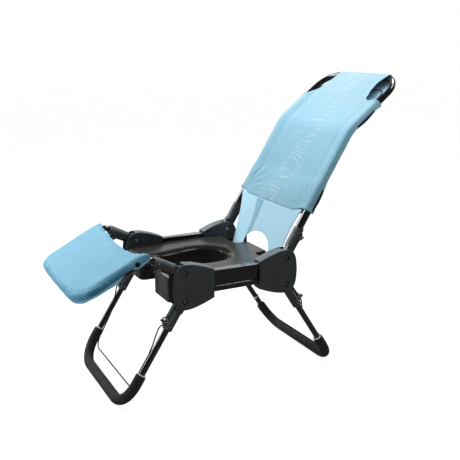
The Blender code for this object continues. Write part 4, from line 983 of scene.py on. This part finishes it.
class BATHCHAIR_OT_back_cover(PieceOperator, bpy.types.Operator):
    """Cut and hang the mesh cover: a sleeve over both tubes and a flap over the top bar"""

    bl_idname = "bathchair.back_cover"
    bl_label = "Back Cover"

    flap_columns = 92
    right_columns = 5      # from the flap to the right tube
    left_columns = 13
    wrap_columns = 14      # round a tube
    rows = 104
    hem_steps = (0.0, 0.003, 0.0055, 0.0075)
    hem_thick = 0.0007
    clearance = 0.0021     # outside of a tube to the cloth
    rear_share = 0.12      # of the front's hollow, by which the rear layer bows to meet it

    def execute(self, context):
        self.sizes = context.scene.cloth_sizes
        self.low = self.sizes.hem_low
        self.cuff = BACK_LOWER + self.sizes.cuff
        self.cloth = Cloth()
        # Painted light and shade: the sleeve darker towards its lower hem, the flap's rear layer paler
        # where the hand holes show it, and a painted shimmer with a paler top
        knit = knitted_mesh("Warp-knitted polyester mesh", context.scene.chair_colours.cloth,
                            self.sizes.thread, 0.27, ("Y", 0.18, 0.47, 0.76, 1.05),
                            ("Y", 0.735, 0.760, 1.0, 1.35))
        mesh = self.sheet()
        cover = hang("back_sleeve_cover", mesh, knit, "back", ["back_cover"], self.sizes.cloth, -1)
        tape = hook_tape(linear("#151619"))
        tapes = show("sleeve_closure_tapes", self.tapes(), tape, "back")
        return {"FINISHED"}

    def reach(self, s):
        """Distance of the cloth from the middle of the tubes."""
        tube = LOWER_TUBE_R + (TUBE_R - LOWER_TUBE_R) * ease(s, BACK_JOINT, BACK_JOINT + 0.04)
        return tube + self.clearance

    def mouth(self, s):
        """How much further the two ends of the sleeve stand off the tubes."""
        low = 0.0030 * (1 - ease(s, self.low, self.low + 0.022))
        return low + 0.0016 * ease(s, self.cuff - 0.014, self.cuff)

    def hem(self, edge):
        """How much the sewn hem stands out at a distance from the edge."""
        return self.hem_thick * (1 - ease(edge, *self.hem_steps[2:]))

    def hollow(self, x, s):
        """How far the front layer hangs in behind the plane of the tubes."""
        t = min(1.0, abs(x) / HALF_TRACK)
        rise = ease(s, self.low + 0.005, self.low + 0.13)
        fall = 1 - ease(s, BACK_TOP - 0.17, BACK_TOP - 0.01)
        return self.sizes.sag * rise * fall * (1 - t ** 2.4)

    def folds(self, x, s):
        """Small pulls in the cloth: along the tubes, and out of the cuffs and hems."""
        pull = 0.0
        for side in (1, -1):
            near = HALF_TRACK - side * x
            pull += 0.0050 * hump(near, 0.038, 0.017) * (0.7 + 0.3 * math.sin(s * 17 + side))
            inboard = ease(near, 0.006, 0.030)
            fan = math.sin(math.atan2(s - self.low, near) * 19)
            pull += 0.0016 * fan * inboard * hump(math.hypot(near - 0.004, s - self.low), 0.06, 0.045)
            down = self.cuff + 0.01 - s
            fan = math.sin(math.atan2(down, near - 0.01) * 17)
            pull += 0.0015 * fan * inboard * hump(math.hypot(near - 0.01, down), 0.055, 0.040)
        drift = noise.noise(Vector((x * 8, s * 5, 0.7))) * 0.0028
        ripple = noise.noise(Vector((x * 42, s * 9, 2.7))) * 0.0007
        pull += (drift + ripple) * (1 - (abs(x) / HALF_TRACK) ** 4)
        return pull * (0.12 + 0.88 * ease(s, self.low - 0.005, self.low + 0.045))

    def columns(self, left, right):
        """Places across the flap, and the ones from it to the middles of the tubes."""
        steps = [2 * j / self.flap_columns - 1 for j in range(self.flap_columns + 1)]
        middle = [t * (left if t > 0 else right) for t in steps]
        far_right = [-HALF_TRACK + (HALF_TRACK - right) * k / self.right_columns
                     for k in range(self.right_columns)]
        far_left = [left + (HALF_TRACK - left) * (k + 1) / self.left_columns
                    for k in range(self.left_columns)]
        return far_right, middle, far_left

    def sleeve_row(self, s):
        """One turn of the closed sleeve: front, left tube, rear, right tube."""
        half = self.reach(s)
        right, middle, left = self.columns(FLAP_LEFT[0][1], FLAP_RIGHT[0][1])
        front = []
        rear = []
        for x in right + middle + left:
            near_tube = ease(abs(x), 0.160, 0.195)
            dip = self.sizes.dip * (1 - ease(abs(x), 0.140, 0.192))
            place = s - dip * (1 - ease(s, self.low, self.low + 0.08))
            edge = place - self.low + dip
            if near_tube > 0:
                edge = min(edge, self.cuff - place + 0.02 * (1 - near_tube))
            stand = half + (self.hem(edge) + self.mouth(s)) * near_tube
            sag = (self.hollow(x, place) + self.folds(x, place)) * (1 - (abs(x) / HALF_TRACK) ** 6)
            front.append(self.cloth.put(back_skin(x, sag - stand, place), (x, place), edge))
            rear.append(self.cloth.put(back_skin(x, stand - self.rear_share * sag, place),
                                       (x + 0.5, place), edge))
        edge = min(s - self.low, self.cuff - s)
        gather = 0.0005 + 0.0009 * math.exp(-max(edge, 0.0) / 0.012)
        sides = []
        for side in (1, -1):
            row = []
            for k in range(1, self.wrap_columns):
                turn = math.pi * k / self.wrap_columns
                ripple = gather * math.sin(s * 95 + 9 * turn) * math.sin(turn)
                out = half + self.hem(edge) + self.mouth(s) + ripple
                place = back_skin(side * (HALF_TRACK + out * math.sin(turn)), -out * math.cos(turn), s)
                row.append(self.cloth.put(place, (side * (HALF_TRACK + half * turn), s), edge))
            sides.append(row)
        return front + sides[0] + rear[::-1] + sides[1][::-1]

    def flap_rows(self):
        """The flap, from the front layer over the bar and down to the rear layer."""
        half = self.reach(self.cuff)
        climbs = [self.cuff + d for d in (0.002, 0.005, 0.009, 0.013, 0.018, 0.023, 0.029, 0.036,
                                          0.043, 0.051, 0.059, 0.067, 0.075, 0.083, 0.091, 0.099,
                                          0.106) if self.cuff + d < BACK_TOP - 0.004]
        turns = [math.pi * k / 12 for k in range(13)]
        plan = [(-half, s) for s in climbs]
        plan += [(-half * math.cos(turn), BACK_TOP + half * math.sin(turn)) for turn in turns]
        plan += [(half, s) for s in reversed(climbs)]
        rows = []
        run = self.cuff + 0.002
        last = Vector(plan[0])
        for v, s in plan:
            run += (Vector((v, s)) - last).length
            last = Vector((v, s))
            left = through(FLAP_LEFT if v < 0 or s >= BACK_TOP else FLAP_LEFT_REAR, s)
            right = through(FLAP_RIGHT, s)
            climb = min(1.0, (s - self.cuff) / (BACK_TOP - self.cuff))
            row = []
            for x in self.columns(left, right)[1]:
                edge = min(left - x, x + right)
                past = max(0.0, abs(x) - (HALF_TRACK - BACK_CORNER))
                drop = BACK_CORNER - math.sqrt(BACK_CORNER ** 2 - past ** 2)
                sag = 0.0
                if s < BACK_TOP - 0.003:
                    sag = self.hollow(x, s) + self.folds(x, s) * 0.8
                    sag *= 1 - (abs(x) / HALF_TRACK) ** 6
                    sag *= 1 - ease(s, BACK_TOP - 0.05, BACK_TOP - 0.004)
                stand = v * (1 + self.hem(edge) / half)
                stand += sag if v < 0 else -self.rear_share * sag
                row.append(self.cloth.put(back_skin(x, stand, s - drop * climb), (x, run), edge))
            rows.append(row)
        return rows

    def sheet(self):
        """One sheet: the closed sleeve, then the flap that runs over the bar and down again."""
        hem = self.hem_steps[-1]
        length = self.cuff - self.low - 2 * hem
        stations = [self.low + d for d in self.hem_steps]
        stations += [self.low + hem + length * k / self.rows for k in range(1, self.rows)]
        stations += [self.cuff - d for d in reversed(self.hem_steps)]
        shape = self.cloth.shape
        rows = [self.sleeve_row(s) for s in stations]
        skin(shape, rows, closed=True)
        across = self.flap_columns + 1 + self.right_columns + self.left_columns
        flap = slice(self.right_columns, self.right_columns + self.flap_columns + 1)
        past = across + self.wrap_columns - 1
        front = rows[-1][:across]
        rear = rows[-1][past:past + across][::-1]
        skin(shape, [front[flap]] + self.flap_rows() + [rear[flap]])
        shape.verts.index_update()
        shape.normal_update()
        bmesh.ops.recalc_face_normals(shape, faces=shape.faces)
        probe = min(shape.faces, key=lambda face: (face.calc_center_median()
                                                   - back_skin(0, -0.02, 0.35)).length)
        if probe.normal.dot(probe.calc_center_median() - back_skin(0, 0, 0.35)) < 0:
            bmesh.ops.reverse_faces(shape, faces=shape.faces)
        return self.cloth.mesh()

    def tapes(self):
        """Strips of hook tape that close the ends of the sleeve, outside each tube."""
        shape = bmesh.new()
        turns = [math.radians(96 + 44 * j / 6) for j in range(7)]
        for side in (1, -1):
            for low, length in ((self.low + 0.004, 0.076), (self.cuff - 0.108, 0.078)):
                rows = []
                for k in range(13):
                    s = low + length * k / 12
                    belly = 0.0026 * math.sin(math.pi * k / 12)
                    out = self.reach(s) + self.mouth(s) + 0.0011 + belly
                    rows.append([shape.verts.new(back_skin(
                        side * (HALF_TRACK + out * math.sin(turn)), -out * math.cos(turn), s))
                        for turn in turns])
                skin(shape, rows)
        return modified(as_mesh(shape), "SOLIDIFY", thickness=0.0012, offset=0)


class BATHCHAIR_OT_back_panel(PieceOperator, bpy.types.Operator):
    """Sew the lower panel of the back to the sleeve and loop its feet round the cross tube"""

    bl_idname = "bathchair.back_panel"
    bl_label = "Lower Panel"

    arch_half = 0.080
    arch_high = 0.048      # above the seat
    sewn_at = 0.142        # seam to the sleeve, from the upper pivots
    behind = LOWER_TUBE_R + 0.0005     # seam, in front of the tubes' middle
    top_lap = 0.013        # panel inside the sleeve
    slack = 0.0030         # how far the panel hangs in at its middle
    waver = 0.0012
    wraps = 8              # rows round the cross tube
    feet = 7               # rows beside the arch's straight sides
    climbs = 46            # rows above them

    def execute(self, context):
        sizes = context.scene.cloth_sizes
        colours = context.scene.chair_colours
        self.lay_out()
        # Painted light: the panel in its paler single-layer colour, and 6 % paler still towards its far
        # edge, as if the white behind shone through
        single = knitted_mesh("Single warp-knitted mesh", colours.panel, sizes.thread, 0.0,
                              ("X", -0.060, -0.085, 1.0, 1.06))
        mesh = self.sheet()
        panel = hang("back_lower_panel", mesh, single, None, ["back_cover_foot"], sizes.cloth, 0)
        tape = bpy.data.materials["Woven hook tape"]
        returns = show("foot_closure_tapes", self.tapes(), tape, None)
        # Painted shade: the doubled strap takes the cloth's colour times 0.88, darker as less light comes
        # through two layers
        doubled = knitted_mesh("Doubled warp-knitted mesh", tuple(c * 0.88 for c in colours.cloth),
                               sizes.thread, 0.0)
        strap_mesh = self.strap()
        strap = show("back_panel_strap", strap_mesh, doubled, None)
        for piece in (panel, strap, returns):
            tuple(self.high)
            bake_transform(piece)
        return {"FINISHED"}

    def lay_out(self):
        """The panel's line: from the front of the cross tube to the sleeve's lower hem."""
        low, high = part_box("rear_cross_tube")
        self.tube = (low + high) / 2
        self.tube.x = 0.0
        self.reach = (high.z - low.z) / 2 + 0.0012
        self.high = back_skin(0.0, -self.behind, self.sewn_at)
        way = self.high - self.tube
        slope = math.atan2(way.z, way.y) - math.asin(self.reach / way.length)
        self.along = Vector((0.0, math.cos(slope), math.sin(slope)))
        self.rear = Vector((0.0, math.sin(slope), -math.cos(slope)))
        self.low = self.tube - self.rear * self.reach
        self.length = (self.high - self.low).length
        self.springing = (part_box("seat_plate")[1].z - self.low.z) / self.along.z
        self.rise = self.arch_high / self.along.z

    def place(self, x, distance, lift=0.0):
        """A place on the panel, a distance up from the cross tube, lifted off its front."""
        over = distance - self.length
        if over > 0:
            return back_skin(x, -self.behind - lift, self.sewn_at + over)
        belly = math.sin(math.pi * distance / self.length)
        hollow = self.slack * belly * (1 - min(1.0, abs(x) / through(PANEL_SIDE, distance)) ** 2)
        hollow += self.waver * belly * noise.noise(Vector((x * 14, distance * 9, 0.2)))
        return self.low + self.along * distance + Vector((x, 0, 0)) + self.rear * (hollow - lift)

    def sheet(self):
        """The panel in columns: across the arch, then from its sides to the panel's edges."""
        cloth = Cloth()
        half = [(self.arch_half * math.sin(math.pi / 2 * k / 16), 0.0) for k in range(1, 17)]
        half += [(self.arch_half, k / 16) for k in range(1, 17)]
        plan = [(-x, share) for x, share in reversed(half)] + [(0.0, 0.0)] + half
        columns = []
        for x, share in plan:

            def put(distance, wrapped=None):
                side = through(PANEL_SIDE, max(0.0, distance))
                wide = x + math.copysign(share * (side - self.arch_half), x)
                if wrapped is not None:
                    spot = self.tube - self.reach * (self.rear * math.cos(wrapped)
                                                     + self.along * math.sin(wrapped))
                    spot.x = wide
                    return cloth.put(spot, (wide, -self.reach * wrapped), 0.02)
                inside = max(0.0, distance - self.springing) / self.rise
                arch = (math.hypot(wide / self.arch_half, inside) - 1) * self.arch_high
                if distance < self.springing and abs(x) >= self.arch_half - 1e-6:
                    arch = abs(wide) - self.arch_half
                edge = max(0.0, min(side - abs(wide), arch))
                return cloth.put(self.place(wide, distance), (wide, distance), edge)

            t = min(1.0, abs(x) / self.arch_half)
            start = self.springing + self.rise * math.sqrt(1 - t * t)
            column = [None] * (self.wraps + self.feet)
            if t > 1 - 1e-5:
                column = [put(0.0, math.pi * (1 - k / self.wraps)) for k in range(self.wraps)]
                column += [put(self.springing * k / self.feet) for k in range(self.feet)]
            top = self.length + self.top_lap
            column += [put(start + (top - start) * k / self.climbs) for k in range(self.climbs + 1)]
            columns.append(column)
        skin(cloth.shape, list(zip(*columns)))
        return cloth.mesh()

    def strap(self):
        """A sewn strap that runs up the panel from the arch's right foot."""
        cloth = Cloth()
        foot = STRAP_LEFT[0][0]
        rows = []
        for k in range(41):
            distance = foot + (self.length - foot) * k / 40
            right = through(STRAP_RIGHT, distance)
            left = through(STRAP_LEFT, distance)
            across = [right + (left - right) * j / 8 for j in range(9)]
            rows.append([cloth.put(self.place(x, distance, 0.0007), (x, distance + 0.4), 0.03)
                         for x in across])
        skin(cloth.shape, rows)
        return modified(cloth.mesh(), "SOLIDIFY", thickness=0.0009, offset=0)

    def tapes(self):
        """Hook tape behind each foot, from the rear of the cross tube up to the panel."""
        shape = bmesh.new()
        start = self.tube + self.rear * self.reach
        goal = self.place(0.0, 0.050, -0.0012)
        for side in (1, -1):
            rows = []
            for k in range(9):
                share = k / 8
                spot = start.lerp(goal, share) + self.rear * 0.0010 * math.sin(math.pi * share)
                across = [side * (self.arch_half + 0.001 + (0.064 - 0.012 * share) * j / 6)
                          for j in range(7)]
                rows.append([shape.verts.new((x, spot.y, spot.z)) for x in across])
            skin(shape, rows)
        return modified(as_mesh(shape), "SOLIDIFY", thickness=0.0014, offset=0)


class BATHCHAIR_OT_calf_pad(PieceOperator, bpy.types.Operator):
    """Stuff the calf pad: a boxed cushion round the calf tube, open underneath at the knee"""

    bl_idname = "bathchair.calf_pad"
    bl_label = "Calf Pad"

    nose_r = 0.0090
    crease_at = -0.0045    # below the middle of the tube
    loop_at = 0.034        # side openings, from the knee
    seam_at = 0.128        # seam across the side wall, from the knee
    columns = 72
    even_step = 0.0042     # mesh of the simulation
    frames = 15            # how long it runs

    def execute(self, context):
        self.sizes = context.scene.pad_sizes
        self.half_width = HALF_TRACK + self.sizes.overhang
        cloth = padded_cloth(context.scene.chair_colours.pad)
        mesh = self.cushion()
        mesh = self.stuffed(mesh)
        mesh = modified(mesh, "SUBSURF", levels=1)
        self.sew(mesh)
        pad = show("calf_cushion", mesh, cloth, "calf", ["calf_pad"])
        return {"FINISHED"}

    def profile(self, x):
        """Closed outline of the pad at x, as (out, along) pairs, from the knee over the top."""
        inward = self.half_width - abs(x)
        radius = self.sizes.corner if x > 0 else self.sizes.corner * 0.74
        reach = max(0.0, radius - inward)
        bow = 1 - (x / self.half_width) ** 2
        end = CALF_KNEE + self.sizes.length + 0.010 * bow - radius + math.sqrt(radius ** 2 - reach ** 2)
        near = CALF_KNEE + through(KNEE_EDGE, x)
        top = self.wall(inward / 0.0095) * (self.sizes.top + 0.003) - 0.003 + 0.0015 * bow
        bottom = self.under(inward, end)
        edge = end - self.nose_r
        points = [(-top, near + (edge - near) * k / 17) for k in range(18)]
        for k in range(1, 9):
            turn = math.pi * k / 8
            out = -math.cos(turn)
            points.append((out * (top if out < 0 else bottom),
                           edge + self.nose_r * math.sin(turn) ** 0.6))
        far = near + 0.008 + 0.018 * ease(inward, 0.020, 0.060)
        back = [edge + (far - edge) * k / 16 for k in range(1, 17)]
        return points + [(self.under(inward, along), along) for along in back]

    def under(self, inward, along):
        """Depth of the underside, which rises to the lower edge of the side wall."""
        side = min(0.011, through(PAD_SIDE, min(0.199, max(0.0, along - CALF_KNEE))) + 0.0015)
        low = side + (self.sizes.under - side) * ease(inward, 0.004, 0.034)
        return self.wall(inward / 0.0060) * (low + 0.004) - 0.004

    def wall(self, share):
        """Height of the side wall, as a share, at a share of its rounding."""
        return math.sqrt(max(0.0, 1 - (1 - min(1.0, max(0.0, share))) ** 2.6))

    def cushion(self):
        shape = bmesh.new()
        rows = []
        for j in range(self.columns + 1):
            t = 2 * j / self.columns - 1
            x = (self.half_width - 0.0004) * (math.sin(math.pi / 2 * t) * 0.45 + t * 0.55)
            rows.append([shape.verts.new(CALF.place(*leaned((x, out, along), CALF_KNEE, CALF_LEAN)))
                         for out, along in self.profile(x)])
        skin(shape, rows, closed=True)
        shape.faces.new(rows[0])
        shape.faces.new(rows[-1])
        return as_mesh(shape, 0.0002)

    def stuffed(self, mesh):
        """Blow the cushion up a little with cloth simulation."""
        scene = bpy.context.scene
        even = modified(mesh, "REMESH", mode="VOXEL", voxel_size=self.even_step)
        rest = [vert.co.copy() for vert in even.vertices]
        holder = added("holder", even)
        cloth = holder.modifiers.new("cloth", "CLOTH").settings
        cloth.use_pressure = True
        cloth.uniform_pressure_force = self.sizes.pressure
        cloth.effector_weights.gravity = 0.0
        cloth.tension_stiffness = 25
        cloth.compression_stiffness = 25
        cloth.bending_stiffness = 0.8
        cloth.mass = 0.25
        for step in range(1, self.frames + 1):
            scene.frame_set(step)
        moved = applied(holder)
        scene.frame_set(1)
        for vert, start in zip(moved.vertices, rest):
            shift = vert.co - start
            if shift.length > self.sizes.swell:
                vert.co = start + shift.normalized() * self.sizes.swell
        return moved

    def sew(self, mesh):
        """Press in a crease low in the wall, two cross seams and two side openings, and paint shade."""
        angle = math.radians(CALF_LEAN)
        away = CALF.along * math.cos(angle) + CALF.out * math.sin(angle)
        out_way = CALF.out * math.cos(angle) - CALF.along * math.sin(angle)
        knee = CALF.pivot + CALF.along * CALF_KNEE
        length, radius = self.sizes.length, self.sizes.corner
        shades = []
        for vert in mesh.vertices:
            spot = vert.co - knee
            x, out, along = spot.x, spot.dot(out_way), spot.dot(away)
            side = ease(abs(x), self.half_width - 0.020, self.half_width - 0.006)
            nose = ease(along, length - 0.020, length - 0.006)
            turned = math.hypot(max(0.0, abs(x) - self.half_width + radius),
                                max(0.0, along - length + radius))
            edge = max(side if along < length - radius else 0.0,
                       nose if abs(x) < self.half_width - radius else 0.0,
                       ease(turned, radius - 0.018, radius - 0.006))
            line = hump(out, self.crease_at, 0.0021)
            band = ease(out, -0.0235, -0.0175)
            band *= 1 - ease(out, self.crease_at, self.crease_at + 0.0025)
            seam = hump(along, self.seam_at, 0.0022) * side
            loop = math.hypot((along - self.loop_at) / 0.0082, (out + 0.0065) / 0.0072)
            hole = side * (1 - ease(loop, 0.75, 1.15))
            inward = Vector((-math.copysign(side, x), 0, 0)) - away * nose
            if inward.length > 0:
                push = edge * line * 0.0028 + seam * 0.0016 + hole * 0.0045
                vert.co += inward.normalized() * push
            # Painted shade: the upper side walls and the nose darker and bluer, more in the crease, less
            # at the cross seams and further from the near side; the side openings near-black
            deep = 0.38 + 0.22 * side * ease(along, 0.045, 0.090)
            shade = edge * band * deep * (1 - 0.6 * seam) + 0.20 * edge * line
            shade *= 0.78 + 0.22 * ease(x, 0.120, 0.190)
            tint = (1.28, 0.70 + 0.28 * side, 0.48 + 0.40 * side)
            shades += [(1 - 0.98 * hole) * (1 - share * shade) for share in tint] + [1.0]
        attribute = mesh.attributes.new("fold_shade", "FLOAT_COLOR", "POINT")
        attribute.data.foreach_set("color", shades)


class BATHCHAIR_OT_stage(PieceOperator, bpy.types.Operator):
    """Set up the pale floor, the soft lamps and the camera"""

    bl_idname = "bathchair.stage"
    bl_label = "Stage"

    aim_at = (0.0, 0.0, 0.45)          # middle of the chair
    floor_half = 30.0
    floor_drop = 0.0002    # keeps the floor out of the feet

    def execute(self, context):
        settings = context.scene.stage_settings
        self.floor(settings)
        self.world(settings)
        self.lamp("key_lamp", -62, 37, 2.6, (1.7, 1.4), settings.key)
        self.lamp("line_lamp", -34, 26, 2.6, (0.5, 2.1), settings.line)
        self.lamp("edge_lamp", 166, 60, 2.75, (1.5, 0.5), settings.edge)
        self.lamp("top_lamp", 212, 57, 2.4, (0.8, 0.5), settings.top)
        lens = bpy.data.cameras.new("camera")
        lens.lens = settings.lens
        lens.sensor_width = 36.0
        camera = added("camera", lens)
        camera.location = settings.camera
        aimed(camera, settings.azimuth, settings.elevation)
        context.scene.camera = camera
        context.scene.view_settings.view_transform = "Standard"
        return {"FINISHED"}

    def floor(self, settings):
        """A wide pale floor that shows as white paper and still takes the chair's shadow."""
        shape = bmesh.new()
        bmesh.ops.create_grid(shape, x_segments=8, y_segments=8, size=self.floor_half)
        material, tree, shader = new_material("White paper", linear("#E2E2E2"), 0.9)
        rays = add_node(tree, "LightPath")
        mirrored = add_node(tree, "Math", {
            0: rays["Is Glossy Ray"], 1: rays["Is Transmission Ray"]}, operation="MAXIMUM")
        lift = add_node(tree, "Math", {0: mirrored["Value"], 1: settings.floor_mirrored},
                        operation="MULTIPLY")
        seen = add_node(tree, "Math", {
            0: rays["Is Camera Ray"], 1: settings.floor_seen, 2: lift["Value"]},
            operation="MULTIPLY_ADD")
        shown = spread(tree, rays["Is Camera Ray"], 0.76, 0.22, FULL)
        feed(shader, Base_Color=spread(tree, rays["Is Glossy Ray"], shown, 0.10, FULL),
             Emission_Strength=seen["Value"])
        shader.inputs["Emission Color"].default_value = (1, 1, 1, 1)
        floor = added("floor", as_mesh(shape))
        floor.data.materials.append(material)
        floor.location.z = -self.floor_drop

    def world(self, settings):
        """White to the camera; in reflections a white backdrop behind, in a dim studio."""
        world = bpy.data.worlds.new("studio")
        bpy.context.scene.world = world
        world.use_nodes = True
        tree = world.node_tree
        shade = tree.nodes["Background"]
        shade.inputs["Color"].default_value = (1, 1, 1, 1)
        rays = add_node(tree, "LightPath")
        around = add_node(tree, "TexCoord")["Generated"]
        height = add_node(tree, "SeparateXYZ", {"Vector": around})["Z"]
        low = spread(tree, height, 1.0, 0.0, (0.28, 0.46), interpolation_type="SMOOTHSTEP")
        behind = add_node(tree, "VectorMath", {0: around, 1: (-0.888, 0.459, 0.0)},
                          operation="DOT_PRODUCT")["Value"]
        wide = spread(tree, behind, 0.0, 1.0, (0.15, 0.60), interpolation_type="SMOOTHSTEP")
        paper = add_node(tree, "Math", {0: low, 1: wide}, operation="MULTIPLY")["Value"]
        backdrop = spread(tree, paper, 0.08, 1.0, FULL)
        mirrored = spread(tree, rays["Is Glossy Ray"], settings.ambient, backdrop, FULL)
        seen = add_node(tree, "Math", {
            0: rays["Is Camera Ray"], 1: rays["Is Transmission Ray"]}, operation="MAXIMUM")["Value"]
        feed(shade, Strength=spread(tree, seen, mirrored, 1.0, FULL))

    def lamp(self, name, azimuth, elevation, distance, size, power):
        """A soft box, as wide and as tall as size, aimed at the middle of the chair."""
        data = bpy.data.lights.new(name, "AREA")
        data.shape = "RECTANGLE"
        data.size, data.size_y = size
        data.energy = power
        lamp = added(name, data)
        back = aimed(lamp, math.radians(azimuth), math.radians(elevation))
        lamp.location = Vector(self.aim_at) + back * distance


class BATHCHAIR_PT_panel(bpy.types.Panel):
    """Lists the chair's pieces in the sidebar."""

    bl_idname = "BATHCHAIR_PT_panel"
    bl_label = "Bath Chair"
    bl_space_type = "VIEW_3D"
    bl_region_type = "UI"
    bl_category = "Bath Chair"

    def draw(self, context):
        layout = self.layout
        for operator in OPERATORS:
            layout.operator(operator.bl_idname)
        for name, label in GROUP_LABELS.items():
            settings = getattr(context.scene, name)
            box = layout.box()
            box.label(text=label)
            for key in settings.__annotations__:
                box.prop(settings, key)


GROUP_LABELS = {
    "chair_colours": "Colours",
    "cloth_sizes": "Back cover",
    "pad_sizes": "Calf pad",
    "stage_settings": "Stage",
}
GROUPS = {
    "chair_colours": ChairColours,
    "cloth_sizes": ClothSizes,
    "pad_sizes": PadSizes,
    "stage_settings": StageSettings,
}
OPERATORS = (
    BATHCHAIR_OT_finishes,
    BATHCHAIR_OT_tubes,
    BATHCHAIR_OT_wires,
    BATHCHAIR_OT_foam,
    BATHCHAIR_OT_trim,
    BATHCHAIR_OT_back_cover,
    BATHCHAIR_OT_back_panel,
    BATHCHAIR_OT_calf_pad,
    BATHCHAIR_OT_stage,
)


def register():
    for kind in (*GROUPS.values(), *OPERATORS, BATHCHAIR_PT_panel):
        bpy.utils.register_class(kind)
    for name, group in GROUPS.items():
        setattr(bpy.types.Scene, name, bpy.props.PointerProperty(type=group))


def unregister():
    for name in GROUPS:
        delattr(bpy.types.Scene, name)
    for kind in reversed((*GROUPS.values(), *OPERATORS, BATHCHAIR_PT_panel)):
        bpy.utils.unregister_class(kind)


def main():
    register()
    bpy.ops.bathchair.finishes()
    bpy.ops.bathchair.tubes()
    bpy.ops.bathchair.wires()
    bpy.ops.bathchair.foam()
    bpy.ops.bathchair.trim()
    bpy.ops.bathchair.back_cover()
    bpy.ops.bathchair.back_panel()
    bpy.ops.bathchair.calf_pad()
    bpy.ops.bathchair.stage()


if __name__ == "__main__":
    main()
